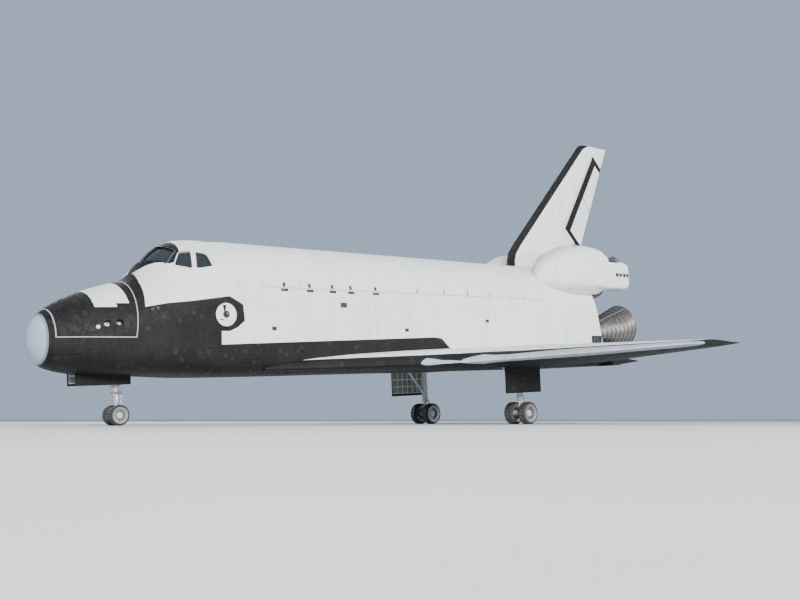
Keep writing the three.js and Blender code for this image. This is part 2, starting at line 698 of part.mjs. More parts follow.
const flapBar = (radius) => barSolid(
  [alongAt(FLAP_HINGE.station), -acrossAt(FLAP_HINGE.halfSpan + 4), aboveAt(FLAP_HINGE.height)],
  [alongAt(FLAP_HINGE.station), acrossAt(FLAP_HINGE.halfSpan + 4), aboveAt(FLAP_HINGE.height)],
  radius * INCH, radius * INCH, 32,
);
const BALL_SIDES = 16;
const gimbalBall = (engine, radius) => {
  const clear = radius / Math.cos(Math.PI / BALL_SIDES) ** 2;
  const geometry = new THREE.SphereGeometry(clear, BALL_SIDES, BALL_SIDES / 2);
  geometry.translate(alongAt(engine.station), acrossAt(engine.across), aboveAt(engine.height));
  return solidOf(geometry);
};
const engineSpaces = MAIN_ENGINES.map((engine) => gimbalBall(engine, SHIELD_RADIUS * INCH));
const rearSockets = [-1, 1].map((side) => barSolid(
  [alongAt(REAR_SOCKET.station), side * acrossAt(REAR_SOCKET.across), SOCKET_START],
  [alongAt(REAR_SOCKET.station), side * acrossAt(REAR_SOCKET.across), REAR_SOCKET.top],
  SOCKET_RADIUS + SOCKET_FLARE, SOCKET_RADIUS, 24,
));
const BALL_RADIUS = 110;
const GIMBAL_POST = { tip: 90, root: 160, length: 1300 };
const gimbalPosts = MAIN_ENGINES.map((engine) => {
  const post = new THREE.CylinderGeometry(GIMBAL_POST.tip, GIMBAL_POST.root, GIMBAL_POST.length, 16);
  post.translate(0, -BALL_RADIUS - RUNNING_GAP - GIMBAL_POST.length / 2, 0);
  return aimed(post, engine);
});
const FLAP_CLEARANCE = 0.6;
const middleBand = (half) => boxSolid(0, 2 * alongAt(TAIL_END), -half, half, -BEYOND, BEYOND);
const flapSweep = flapBar(FLAP_HINGE.radius + FLAP_CLEARANCE)
  .intersect(middleBand(acrossAt(FLAP_HINGE.halfSpan) + RUNNING_GAP));
const tailBody = joined(
  cut(
    joined(cut(bodySolid(0, BAY_END, TAIL_END), basePlane), flapShelf, flapLugRoot),
    flapSweep, ...engineSpaces, ...rearSockets,
  ),
  ...flapLugs, ...gimbalPosts,
);

const FLAP_EDGE = { below: 45, above: 10 };
const flapOutline = [
  [alongAt(FLAP_HINGE.station), aboveAt(FLAP_HINGE.height) - FLAP_HINGE.radius * INCH + 1],
  [alongAt(FLAP_HINGE.station + FLAP_HINGE.chord), aboveAt(FLAP_HINGE.height) - FLAP_EDGE.below],
  [alongAt(FLAP_HINGE.station + FLAP_HINGE.chord), aboveAt(FLAP_HINGE.height) - FLAP_EDGE.above],
  [alongAt(FLAP_HINGE.station), aboveAt(FLAP_HINGE.height) + FLAP_HINGE.radius * INCH - 1],
];
const bodyFlap = profileSolid(flapOutline, -acrossAt(FLAP_HINGE.halfSpan), acrossAt(FLAP_HINGE.halfSpan))
  .add(flapBar(FLAP_HINGE.radius).intersect(middleBand(acrossAt(FLAP_HINGE.halfSpan))));

// Wing

const CHORD_STEPS = [0, 0.004, 0.016, 0.04, 0.09, 0.17, 0.3, 0.45, 0.62, 0.8, 1];
const EDGE_THICKNESS = 0.5;

// Share of the full thickness at a fraction of the chord
function fullness(fraction, crest) {
  if (fraction <= crest) return Math.sqrt(1 - ((crest - fraction) / crest) ** 2);
  return 1 - ((fraction - crest) / (1 - crest)) ** 1.55;
}

function wingRing(row) {
  const chord = row.trail - row.lead;
  const point = (fraction, reach) => {
    const height = Math.max(Math.abs(reach) * fullness(fraction, row.crest), EDGE_THICKNESS);
    const z = aboveAt(row.plane + Math.sign(reach) * (fraction === 0 ? 0 : height));
    return [alongAt(row.lead + chord * fraction), acrossAt(row.span), z];
  };
  const upper = CHORD_STEPS.map((fraction) => point(fraction, row.above));
  const lower = CHORD_STEPS.slice(1).reverse().map((fraction) => point(fraction, -row.below));
  return [...upper, ...lower];
}

const wingWhole = loftSolid(WING.map(wingRing)).intersect(slabSolid(590, 1600)).subtract(bodyProud);

// The elevon hinge line runs straight from the inner to the outer end
function hingePointAt(span) {
  const row = rowAt(WING, 'span', span);
  const fraction = (ELEVON_HINGE - row.lead) / (row.trail - row.lead);
  const share = fullness(fraction, row.crest);
  return {
    across: acrossAt(span),
    above: aboveAt(row.plane + ((row.above - row.below) / 2) * share),
    radius: ((row.above + row.below) / 2) * share * INCH,
  };
}
const hingeInner = hingePointAt(ELEVON_SPANS.inner);
const hingeOuter = hingePointAt(ELEVON_SPANS.outer);
const HINGE_RISE = Math.atan2(hingeOuter.above - hingeInner.above, hingeOuter.across - hingeInner.across);

// In the hinge frame y runs out along the hinge from its inner end
const hingeFrame = new THREE.Matrix4()
  .makeRotationX(HINGE_RISE)
  .setPosition(alongAt(ELEVON_HINGE), hingeInner.across, hingeInner.above);
const hingeReach = (span) => (acrossAt(span) - hingeInner.across) / Math.cos(HINGE_RISE);
const hingeRadius = (span) => THREE.MathUtils.mapLinear(
  span, ELEVON_SPANS.inner, ELEVON_SPANS.outer, hingeInner.radius, hingeOuter.radius,
);

function inHingeFrame(geometry) {
  return solidOf(moved(geometry, hingeFrame));
}

function hingeBox(x0, x1, spanFrom, spanTo, gap) {
  const [y0, y1] = [hingeReach(spanFrom) + gap, hingeReach(spanTo) - gap];
  const geometry = new THREE.BoxGeometry(x1 - x0, y1 - y0, BEYOND);
  geometry.translate((x0 + x1) / 2, (y0 + y1) / 2, 0);
  return inHingeFrame(geometry);
}

function hingeCone(spanFrom, spanTo, gap, grow) {
  const [y0, y1] = [hingeReach(spanFrom) + gap, hingeReach(spanTo) - gap];
  const geometry = new THREE.CylinderGeometry(
    hingeRadius(spanTo) + grow, hingeRadius(spanFrom) + grow, y1 - y0, 40,
  );
  geometry.translate(0, (y0 + y1) / 2, 0);
  return inHingeFrame(geometry);
}

const coverEnd = -(hingeInner.radius * Math.sin(ELEVON_UP) + 25);
const elevonBay = joined(
  hingeBox(coverEnd, BEYOND, ELEVON_SPANS.inner, ELEVON_SPANS.outer, 0),
  hingeCone(ELEVON_SPANS.inner, ELEVON_SPANS.outer, 0, 15),
);
const elevonAt = (from, to) => joined(
  wingWhole.intersect(hingeBox(0, BEYOND, from, to, DOOR_GAP)),
  hingeCone(from, to, DOOR_GAP, -4),
);
const BOSS_RADIUS = 45;
function hingeBoss(y0, y1) {
  const geometry = new THREE.CylinderGeometry(BOSS_RADIUS, BOSS_RADIUS, y1 - y0, 12);
  geometry.translate(0, (y0 + y1) / 2, 0);
  return inHingeFrame(geometry);
}
const outerEnd = hingeReach(ELEVON_SPANS.outer);
const elevonInner = elevonAt(ELEVON_SPANS.inner, ELEVON_SPANS.split)
  .add(hingeBoss(RUNNING_GAP, DOOR_GAP + 30));
const elevonOuter = elevonAt(ELEVON_SPANS.split, ELEVON_SPANS.outer)
  .add(hingeBoss(outerEnd - DOOR_GAP - 30, outerEnd - RUNNING_GAP));

// The hard leading edge runs from the glove to the tip
const EDGE_BAND = table('span depth', [[150, 10], [180, 13], [300, 13], [440, 11], [475, 10]]);
const edgeOutline = [
  ...EDGE_BAND.map((row) => [
    alongAt(rowAt(WING, 'span', Math.min(row.span, 466)).lead + row.depth * 1.35), acrossAt(row.span),
  ]),
  [alongAt(1240), acrossAt(475)],
  [alongAt(800), acrossAt(150)],
];
const edgeBand = planSolid(edgeOutline, -BEYOND, BEYOND);
const edgeOutlineGap = edgeOutline.map(([x, y], i) => (i < EDGE_BAND.length ? [x + SEAM * 2, y] : [x, y]));
edgeOutlineGap[0][1] -= SEAM;
edgeOutlineGap[edgeOutlineGap.length - 1][1] -= SEAM;
const edgeBandGap = planSolid(edgeOutlineGap, -BEYOND, BEYOND);

// Main wheel well, open below
const MAIN_WELL = { front: 1098, back: 1206, inner: 108, outer: 164, top: 305 };
const mainWell = boxSolid(
  alongAt(MAIN_WELL.front), alongAt(MAIN_WELL.back),
  acrossAt(MAIN_WELL.inner), acrossAt(MAIN_WELL.outer),
  -BEYOND, aboveAt(MAIN_WELL.top),
);
const leadingEdge = wingWhole.intersect(edgeBand);
const wingRight = cut(wingWhole, edgeBandGap, elevonBay, mainWell);

// Fin

function finRing(row) {
  const chord = row.trail - row.lead;
  const hinge = row.lead + chord * RUDDER.hingeFraction;
  const half = (hinge - row.lead) * FIN_WEDGE;
  const tip = row.height > 812 ? (819.6 - row.height) / 12 : 1;
  const outline = table('fraction share', [
    [0, 0], [0.012, 0.16], [0.035, 0.25], [0.08, 0.36], [0.3, 0.72], [0.6, 1], [1, 0.035],
  ]);
  const side = (sign) => outline.map((step) => [
    alongAt(row.lead + chord * step.fraction), sign * half * INCH * step.share * tip, aboveAt(row.height),
  ]);
  return [...side(1), ...side(-1).slice(1).reverse()];
}

const finHinge = (height) => {
  const row = rowAt(FIN, 'height', height);
  return row.lead + (row.trail - row.lead) * RUDDER.hingeFraction;
};
const finHalf = (height) => {
  const row = rowAt(FIN, 'height', height);
  return (row.trail - row.lead) * RUDDER.hingeFraction * FIN_WEDGE * INCH;
};
const finWhole = loftSolid(FIN.map(finRing));
const rudderLow = new THREE.Vector3(alongAt(finHinge(RUDDER.low)), 0, aboveAt(RUDDER.low));
const rudderHigh = new THREE.Vector3(alongAt(finHinge(RUDDER.high)), 0, aboveAt(RUDDER.high));
const rudderLength = rudderHigh.distanceTo(rudderLow);
const rudderAxis = rudderHigh.clone().sub(rudderLow).normalize();

// In the rudder frame z runs up the hinge from its lower end
const rudderFrame = new THREE.Matrix4().makeBasis(
  new THREE.Vector3(rudderAxis.z, 0, -rudderAxis.x), new THREE.Vector3(0, 1, 0), rudderAxis,
).setPosition(rudderLow);
const rudderHalf = (share) => THREE.MathUtils.lerp(finHalf(RUDDER.low), finHalf(RUDDER.high), share);

function rudderCone(grow, gap) {
  const length = rudderLength - 2 * gap;
  const geometry = new THREE.CylinderGeometry(rudderHalf(1) + grow, rudderHalf(0) + grow, length, 40);
  geometry.rotateX(Math.PI / 2);
  geometry.translate(0, 0, rudderLength / 2);
  return solidOf(moved(geometry, rudderFrame));
}

function rudderBox(x0, x1, y0, y1, gap) {
  const geometry = new THREE.BoxGeometry(x1 - x0, y1 - y0, rudderLength - 2 * gap);
  geometry.translate((x0 + x1) / 2, (y0 + y1) / 2, rudderLength / 2);
  return solidOf(moved(geometry, rudderFrame));
}

// The fin stops ahead of the hinge by its half thickness, so that the opened panels swing clear
function rudderGroove() {
  const shape = new THREE.Shape([
    new THREE.Vector2(-rudderHalf(0) - 14, 0),
    new THREE.Vector2(BEYOND, 0),
    new THREE.Vector2(BEYOND, rudderLength),
    new THREE.Vector2(-rudderHalf(1) - 14, rudderLength),
  ]);
  const geometry = new THREE.ExtrudeGeometry(shape, { depth: 2 * BEYOND, bevelEnabled: false });
  geometry.rotateX(Math.PI / 2);
  geometry.translate(0, BEYOND, 0);
  return solidOf(moved(geometry, rudderFrame));
}

const FLANGE_THICKNESS = 7;
const rudderFlange = new THREE.CylinderGeometry(
  rudderHalf(0) - 6, rudderHalf(0) - 6, FLANGE_THICKNESS, 32,
);
rudderFlange.rotateX(Math.PI / 2);
rudderFlange.translate(0, 0, DOOR_GAP - RUNNING_GAP - FLANGE_THICKNESS / 2);
const rudderShaft = rudderCone(-RUDDER.skin, RUNNING_GAP)
  .add(solidOf(moved(rudderFlange, rudderFrame)));
const rudderPanelRight = cut(
  finWhole.intersect(rudderBox(0, BEYOND, DOOR_GAP / 2, BEYOND, DOOR_GAP)),
  rudderCone(-RUDDER.skin + 8, -50),
);
const FIN_FOOT = table('station height', [
  [1300, 260], [1300, 494], [1478, 503], [1592, 612], [1800, 612], [1800, 260],
]);
const finFoot = profileSolid(
  FIN_FOOT.map((row) => [alongAt(row.station), aboveAt(row.height)]), -BEYOND, BEYOND,
);
const finBody = cut(
  finWhole, rudderGroove(), bodyProud, finFoot,
);

// Pods

function podRing(row, power) {
  const ring = [];
  const points = 20;
  for (let i = 0; i < points; i += 1) {
    const angle = (2 * Math.PI * i) / points;
    ring.push([
      alongAt(row.station),
      acrossAt(row.across + row.halfWidth * signedPower(Math.cos(angle), 2 / power)),
      aboveAt(row.height + row.halfHeight * signedPower(Math.sin(angle), 2 / power)),
    ]);
  }
  return ring;
}

function aimed(geometry, engine) {
  const up = THREE.MathUtils.degToRad(engine.up);
  const out = THREE.MathUtils.degToRad(engine.out);
  const back = new THREE.Vector3(Math.cos(up) * Math.cos(out), Math.sin(out), Math.sin(up));
  const turn = new THREE.Quaternion().setFromUnitVectors(new THREE.Vector3(0, 1, 0), back.normalize());
  geometry.applyQuaternion(turn);
  geometry.translate(alongAt(engine.station), acrossAt(engine.across), aboveAt(engine.height));
  return solidOf(geometry);
}

function latheOf(points, segments) {
  return new THREE.LatheGeometry(points.map(([r, y]) => new THREE.Vector2(r, y)), segments);
}

// A bell with a closed throat and an open mouth
function bellProfile(bell, wall) {
  const last = bell.length - 1;
  const outer = bell.map((row) => [row.radius * INCH, row.behind * INCH]);
  const inner = bell.slice(1).map((row) => [row.radius * INCH - wall, row.behind * INCH]).reverse();
  const mouth = [[bell[last].radius * INCH + 25, bell[last].behind * INCH]];
  const lip = [[bell[last].radius * INCH + 25, bell[last].behind * INCH - 70]];
  const floor = [0, inner[inner.length - 1][1]];
  return [[0, bell[0].behind * INCH], ...outer.slice(0, -1), ...lip, ...mouth, ...inner, floor];
}

const podBell = latheOf(bellProfile(POD_BELL, 18), 16);
const podNozzleRight = aimed(podBell.clone(), POD_ENGINE);
const podScoop = new THREE.CylinderGeometry(28 * INCH, 12 * INCH, 70 * INCH, 16);
podScoop.translate(0, 33 * INCH, 0);
const podClearance = aimed(podScoop, POD_ENGINE);
const stingerHoles = [0, 1, 2, 3].map((i) => barSolid(
  [alongAt(1524 + 13.5 * i), acrossAt(129), aboveAt(481)],
  [alongAt(1524 + 13.5 * i), acrossAt(150), aboveAt(481)],
  4.2 * INCH, 4.2 * INCH, 12,
));
const podRight = cut(
  joined(
    loftSolid(POD.map((row) => podRing(row, 2.3))),
    loftSolid(STINGER.map((row) => podRing(row, 4))),
  ),
  bodyProud, podClearance, ...stingerHoles,
);

// Main engines: a bell that grows out of a domed shield round the gimbal
function mainEngine(engine) {
  const outer = SHIELD_RADIUS * INCH - 12;
  const inner = outer - 40;
  const [bellAngle, rimAngle, steps] = [0.36, 1.18, 3];
  const arc = [];
  for (let i = 0; i <= steps; i += 1) {
    const angle = THREE.MathUtils.lerp(bellAngle, rimAngle, i / steps);
    arc.push([Math.sin(angle), Math.cos(angle)]);
  }
  const throat = MAIN_BELL.filter((row) => row.behind * INCH < inner * 0.85);
  const shield = [
    ...arc.map(([r, y]) => [r * inner, y * inner]),
    ...arc.reverse().map(([r, y]) => [r * outer, y * outer]),
  ];
  const start = throat.map((row) => [row.radius * INCH, row.behind * INCH]);
  const rest = bellProfile(MAIN_BELL, 30).filter(([, y], i) => i > throat.length);
  const ball = [-1, -0.72, 0, 0.6].map((share) => [
    BALL_RADIUS * Math.sqrt(1 - share ** 2), BALL_RADIUS * share,
  ]);
  const neck = [BALL_RADIUS * 0.8, MAIN_BELL[0].behind * INCH];
  const profile = [...ball, neck, ...start, ...shield, ...rest.slice(1)];
  return aimed(latheOf(profile, 16), engine);
}

// Landing gear

const HUB_SHARE = 0.35;
const tyreAt = (gear, across) => {
  const [radius, half] = [gear.tyreRadius, gear.tyreWidth / 2];
  const profile = [
    [0, -half * HUB_SHARE], [radius * 0.42, -half * HUB_SHARE], [radius * 0.52, -half * 0.9],
    [radius * 0.8, -half], [radius, -half * 0.5],
    [radius, half * 0.5], [radius * 0.8, half],
    [radius * 0.52, half * 0.9], [radius * 0.42, half * HUB_SHARE], [0, half * HUB_SHARE],
  ];
  const geometry = latheOf(profile, 20);
  geometry.translate(0, across, 0);
  return solidOf(geometry);
};

const floorHeightAt = (x) => (-BELLY_CLEARANCE - x * Math.sin(PARKED_PITCH)) / Math.cos(PARKED_PITCH);
const axleOf = (gear) => {
  const x = alongAt(gear.station);
  return { x, z: floorHeightAt(x) + gear.tyreRadius / Math.cos(PARKED_PITCH) };
};
const noseAxle = axleOf(NOSE_GEAR);
const mainAxle = axleOf(MAIN_GEAR);

const noseWheels = shifted(joined(
  tyreAt(NOSE_GEAR, NOSE_GEAR.tyreAcross),
  tyreAt(NOSE_GEAR, -NOSE_GEAR.tyreAcross),
  barSolid([0, -NOSE_GEAR.tyreAcross, 0], [0, NOSE_GEAR.tyreAcross, 0], 45),
), noseAxle.x, 0, noseAxle.z);
const bearingOf = (gear) => gear.tyreAcross - (gear.tyreWidth / 2) * HUB_SHARE - RUNNING_GAP;
const noseBearing = bearingOf(NOSE_GEAR);
const mainBearing = bearingOf(MAIN_GEAR);
const noseTop = aboveAt(NOSE_WELL.top) - SEAM;

// The nose leg's rods, in millimetres above the axle, and the link that turns the wheels
const NOSE_ROD = { radius: 62, top: 900, axle: 85, axleBore: 53, collar: 100, collarBottom: 740 };
const NOSE_CYLINDER = { radius: 105, bore: 72, bottom: 780, boreBottom: 700, boreSpare: 30 };
const NOSE_TRUNNION = { radius: 70, half: 300, height: NOSE_WELL.top - 8 };
const NOSE_BRACE = { radius: 48, back: 60, bottom: 1000, topStation: 318, topDrop: 40 };
const TURNING_LINK = table('front back half bottom top', [[40, 230, 60, 330, 400], [190, 230, 60, 360, 760]]);
const noseRod = (bottom, top, radius) => barSolid(
  [noseAxle.x, 0, noseAxle.z + bottom], [noseAxle.x, 0, noseAxle.z + top], radius,
);
const noseAxleBar = (half, radius) => barSolid(
  [noseAxle.x, -half, noseAxle.z], [noseAxle.x, half, noseAxle.z], radius,
);
const noseSteering = cut(
  joined(
    noseRod(0, NOSE_ROD.top, NOSE_ROD.radius),
    noseAxleBar(noseBearing, NOSE_ROD.axle),
    noseRod(NOSE_ROD.collarBottom, NOSE_CYLINDER.bottom - RUNNING_GAP, NOSE_ROD.collar),
    ...TURNING_LINK.map((row) => boxSolid(
      noseAxle.x + row.front, noseAxle.x + row.back, -row.half, row.half,
      noseAxle.z + row.bottom, noseAxle.z + row.top,
    )),
  ),
  noseAxleBar(noseBearing + 50, NOSE_ROD.axleBore),
);
const noseLeg = joined(
  cut(
    noseRod(NOSE_CYLINDER.bottom, noseTop - noseAxle.z, NOSE_CYLINDER.radius),
    noseRod(NOSE_CYLINDER.boreBottom, NOSE_ROD.top + NOSE_CYLINDER.boreSpare, NOSE_CYLINDER.bore),
  ),
  barSolid(
    [noseAxle.x, -NOSE_TRUNNION.half, aboveAt(NOSE_TRUNNION.height)],
    [noseAxle.x, NOSE_TRUNNION.half, aboveAt(NOSE_TRUNNION.height)],
    NOSE_TRUNNION.radius,
  ),
  barSolid(
    [noseAxle.x - NOSE_BRACE.back, 0, noseAxle.z + NOSE_BRACE.bottom],
    [alongAt(NOSE_BRACE.topStation), 0, noseTop - NOSE_BRACE.topDrop],
    NOSE_BRACE.radius,
  ),
);

const mainCentre = acrossAt(MAIN_GEAR.across);
const mainWheelsRight = shifted(joined(
  tyreAt(MAIN_GEAR, MAIN_GEAR.tyreAcross),
  tyreAt(MAIN_GEAR, -MAIN_GEAR.tyreAcross),
  barSolid([0, -MAIN_GEAR.tyreAcross, 0], [0, MAIN_GEAR.tyreAcross, 0], 75),
), mainAxle.x, mainCentre, mainAxle.z);
const mainTop = aboveAt(MAIN_WELL.top) - SEAM;
const mainAxleBar = (half, radius) => barSolid(
  [mainAxle.x, mainCentre - half, mainAxle.z], [mainAxle.x, mainCentre + half, mainAxle.z], radius,
);

// The main leg's rods, in millimetres above the axle
const MAIN_CYLINDER = { radius: 150, bottom: 700 };
const MAIN_ROD = { radius: 100, bottom: 60, top: 800, axle: 130, axleBore: 86, boreHalf: 500 };
const MAIN_BRACE = { radius: 70, back: 60, bottom: 1050, topInside: 8, topDrop: 60 };
const mainRod = (bottom, top, radius) => barSolid(
  [mainAxle.x, mainCentre, mainAxle.z + bottom], [mainAxle.x, mainCentre, mainAxle.z + top], radius,
);
const mainLegRight = cut(
  joined(
    mainRod(MAIN_CYLINDER.bottom, mainTop - mainAxle.z, MAIN_CYLINDER.radius),
    mainRod(MAIN_ROD.bottom, MAIN_ROD.top, MAIN_ROD.radius),
    mainAxleBar(mainBearing, MAIN_ROD.axle),
    barSolid(
      [mainAxle.x - MAIN_BRACE.back, mainCentre, mainAxle.z + MAIN_BRACE.bottom],
      [alongAt(MAIN_WELL.front + MAIN_BRACE.topInside), mainCentre, mainTop - MAIN_BRACE.topDrop],
      MAIN_BRACE.radius,
    ),
  ),
  mainAxleBar(MAIN_ROD.boreHalf, MAIN_ROD.axleBore),
);


// The wheel doors stand open, straight down, inside the wells' outer walls
const NOSE_DOOR = { thickness: 35, frontInside: 6, backInside: 3, bottom: -191.4, top: 584.2 };
const MAIN_DOOR = { thickness: 45, frontInside: 2, backInside: 2, bottom: -1250, top: 160 };
const wheelDoor = (well, outer, door) => boxSolid(
  alongAt(well.front + door.frontInside), alongAt(well.back - door.backInside),
  acrossAt(outer) - SEAM - door.thickness, acrossAt(outer) - SEAM,
  door.bottom, door.top,
);
const noseDoorRight = wheelDoor(NOSE_WELL, NOSE_WELL.half, NOSE_DOOR);
const mainDoorRight = wheelDoor(MAIN_WELL, MAIN_WELL.outer, MAIN_DOOR);

// Assembly

const group = new THREE.Group();
const onGround = new THREE.Matrix4()
  .makeRotationY(-PARKED_PITCH)
  .premultiply(new THREE.Matrix4().makeTranslation(CENTRE_SHIFT, 0, BELLY_CLEARANCE));

const paint = (color, roughness, metalness = 0) => ({ color, roughness, metalness });
const WHITE = paint(0xe9e7e2, 0.55);
const BLACK = paint(0x1c1d20, 0.75);
const EDGE_GREY = paint(0x8f949b, 0.6);
const GLASS = paint(0x10151a, 0.08);
const METAL = paint(0x8c8f94, 0.35, 0.9);
const GREY = paint(0x9a9c9e, 0.6);
const RUBBER = paint(0x161616, 0.9);

function add(name, solid, look) {
  const geometry = tidied(moved(geometryOf(solid), onGround));
  const mesh = new THREE.Mesh(geometry, new THREE.MeshStandardMaterial(look));
  mesh.name = name;
  group.add(mesh);
}

function addPair(name, solid, look) {
  add(`${name}_right`, solid, look);
  add(`${name}_left`, mirrored(solid), look);
}

add('nose_cap', noseCap, EDGE_GREY);
add('forward_body', forwardWithLug, WHITE);
add('nose_thruster_module', thrusterModule, BLACK);
add('windscreen_glass', windscreenGlass, GLASS);
add('overhead_glass', overheadGlass, GLASS);
add('bay_view_glass', bayViewGlass, GLASS);
add('flight_deck_floor', flightDeck, GREY);
add('mid_deck_floor', midDeck, GREY);
add('dashboard', dashboard, GREY);
add('seat_left', seatAt(-1), GREY);
add('seat_right', seatAt(1), GREY);
add('side_hatch', sideHatchHinged, WHITE);
add('mid_body', midBody, WHITE);
addPair('bay_door', bayDoorRight, WHITE);
add('tail_body', tailBody, WHITE);
add('body_flap', bodyFlap, BLACK);
addPair('wing', wingRight, WHITE);
addPair('wing_leading_edge', leadingEdge, EDGE_GREY);
addPair('elevon_inner', elevonInner, WHITE);
addPair('elevon_outer', elevonOuter, WHITE);
add('fin', finBody, WHITE);
add('rudder_shaft', rudderShaft, BLACK);
addPair('rudder_panel', rudderPanelRight, WHITE);
addPair('tail_pod', podRight, WHITE);
addPair('pod_engine', podNozzleRight, METAL);
for (const engine of MAIN_ENGINES) add(engine.name, mainEngine(engine), METAL);
add('nose_gear_leg', noseLeg, METAL);
add('nose_gear_steering', noseSteering, METAL);
add('nose_wheels', noseWheels, RUBBER);
addPair('main_gear_leg', mainLegRight, METAL);
addPair('main_wheels', mainWheelsRight, RUBBER);
addPair('nose_gear_door', noseDoorRight, WHITE);
addPair('main_gear_door', mainDoorRight, WHITE);

export default group;
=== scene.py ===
import bpy
import json
import math
from mathutils import Matrix, Vector


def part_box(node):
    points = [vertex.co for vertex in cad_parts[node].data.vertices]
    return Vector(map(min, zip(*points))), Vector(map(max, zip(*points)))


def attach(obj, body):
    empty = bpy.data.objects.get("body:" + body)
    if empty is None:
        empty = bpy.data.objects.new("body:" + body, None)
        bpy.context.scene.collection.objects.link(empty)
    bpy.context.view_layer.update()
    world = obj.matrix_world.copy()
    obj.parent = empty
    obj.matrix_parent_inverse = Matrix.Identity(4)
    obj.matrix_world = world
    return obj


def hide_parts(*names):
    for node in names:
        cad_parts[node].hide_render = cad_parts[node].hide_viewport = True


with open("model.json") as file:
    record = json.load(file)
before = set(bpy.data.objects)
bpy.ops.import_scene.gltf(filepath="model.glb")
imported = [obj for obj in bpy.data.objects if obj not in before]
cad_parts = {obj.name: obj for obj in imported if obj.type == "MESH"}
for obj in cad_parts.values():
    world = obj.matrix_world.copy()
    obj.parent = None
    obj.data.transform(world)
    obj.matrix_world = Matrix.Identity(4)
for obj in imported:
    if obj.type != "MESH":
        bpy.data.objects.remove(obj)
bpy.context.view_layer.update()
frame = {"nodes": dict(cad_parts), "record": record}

# The craft is drawn level, in inches from its own datum, and parked nose down on its gear.
INCH = 0.0254
NOSE_DOWN = math.radians(3)
DATUM = Vector((238, 0, 277))
PARKED_AT = Vector((-18.205, 0, 1.5996))
LEVEL = Matrix.Translation(PARKED_AT) @ Matrix.Rotation(-NOSE_DOWN, 4, 'Y')


def spot(station, across, height):
    """A point of the level craft, in inches, as it lies on the parked craft, in metres."""
    return LEVEL @ ((Vector((station, across, height)) - DATUM) * INCH)


def heading(station, across, height):
    """A direction on the level craft, turned as the craft is parked."""
    return (LEVEL.to_3x3() @ Vector((station, across, height))).normalized()


# Shader helpers

def put(tree, kind, feeds=None, **settings):
    """Adds a shader node, sets it up, and feeds its sockets with links or values."""
    node = tree.nodes.new(kind)
    for name, value in settings.items():
        setattr(node, name, value)
    for slot, value in (feeds or {}).items():
        feed(tree, value, node.inputs[slot])
    return node


def feed(tree, value, socket):
    if isinstance(value, bpy.types.NodeSocket):
        tree.links.new(value, socket)
    else:
        socket.default_value = value


def maths(tree, operation, first, second=0.0, third=0.0, clamp=False):
    node = put(tree, 'ShaderNodeMath', operation=operation, use_clamp=clamp)
    for socket, value in zip(node.inputs, (first, second, third)):
        feed(tree, value, socket)
    return node.outputs[0]


def tint(tree, share, first, second, blend='MIX'):
    node = put(tree, 'ShaderNodeMix', data_type='RGBA', blend_type=blend)
    feed(tree, share, node.inputs[0])
    feed(tree, first, node.inputs[6])
    feed(tree, second, node.inputs[7])
    return node.outputs[2]


def fade(tree, share, first, second):
    node = put(tree, 'ShaderNodeMix', data_type='FLOAT')
    feed(tree, share, node.inputs[0])
    feed(tree, first, node.inputs[2])
    feed(tree, second, node.inputs[3])
    return node.outputs[0]


def step(tree, value, low, high):
    """0 below low, 1 above high, and a straight ramp between; low may be the larger one."""
    return put(tree, 'ShaderNodeMapRange', {'Value': value, 'From Min': low, 'From Max': high},
               clamp=True).outputs[0]


def both(tree, *shares):
    total = shares[0]
    for share in shares[1:]:
        total = maths(tree, 'MULTIPLY', total, share)
    return total


def either(tree, *shares):
    total = shares[0]
    for share in shares[1:]:
        total = maths(tree, 'MAXIMUM', total, share)
    return total


def without(tree, share, taken):
    return maths(tree, 'MULTIPLY', share, maths(tree, 'SUBTRACT', 1.0, taken))


def line_through(tree, along, corners):
    """The height of a broken line at a place along it: corners are (along, height) pairs."""
    start, end = corners[0][0], corners[-1][0]
    low = min(height for _, height in corners) - 1
    high = max(height for _, height in corners) + 1
    share = step(tree, along, start, end)
    node = put(tree, 'ShaderNodeFloatCurve', {'Value': share})
    curve = node.mapping.curves[0]
    for number, (at, height) in enumerate(corners):
        x, y = (at - start) / (end - start), (height - low) / (high - low)
        if number < 1 or number == len(corners) - 1:
            point = curve.points[0 if number < 1 else -1]
            point.location = (x, y)
        else:
            point = curve.points.new(x, y)
        point.handle_type = 'VECTOR'
    node.mapping.update()
    return put(tree, 'ShaderNodeMapRange', {'Value': node.outputs[0], 'To Min': low, 'To Max': high}
               ).outputs[0]


def new_group(name, inputs, outputs):
    """An empty shader group: inputs are (name, default), outputs are (name, kind)."""
    tree = bpy.data.node_groups.new(name, 'ShaderNodeTree')
    for slot, value in inputs:
        kind = 'NodeSocketColor' if isinstance(value, tuple) else 'NodeSocketFloat'
        socket = tree.interface.new_socket(slot, in_out='INPUT', socket_type=kind)
        socket.default_value = value
    for slot, kind in outputs:
        tree.interface.new_socket(slot, in_out='OUTPUT', socket_type='NodeSocket' + kind)
    given = tree.nodes.new('NodeGroupInput').outputs
    result = tree.nodes.new('NodeGroupOutput').inputs
    return tree, given, result


def use(tree, group, **values):
    node = put(tree, 'ShaderNodeGroup', node_tree=group)
    for slot, value in values.items():
        feed(tree, value, node.inputs[slot])
    return node.outputs


# Groups that every finish shares

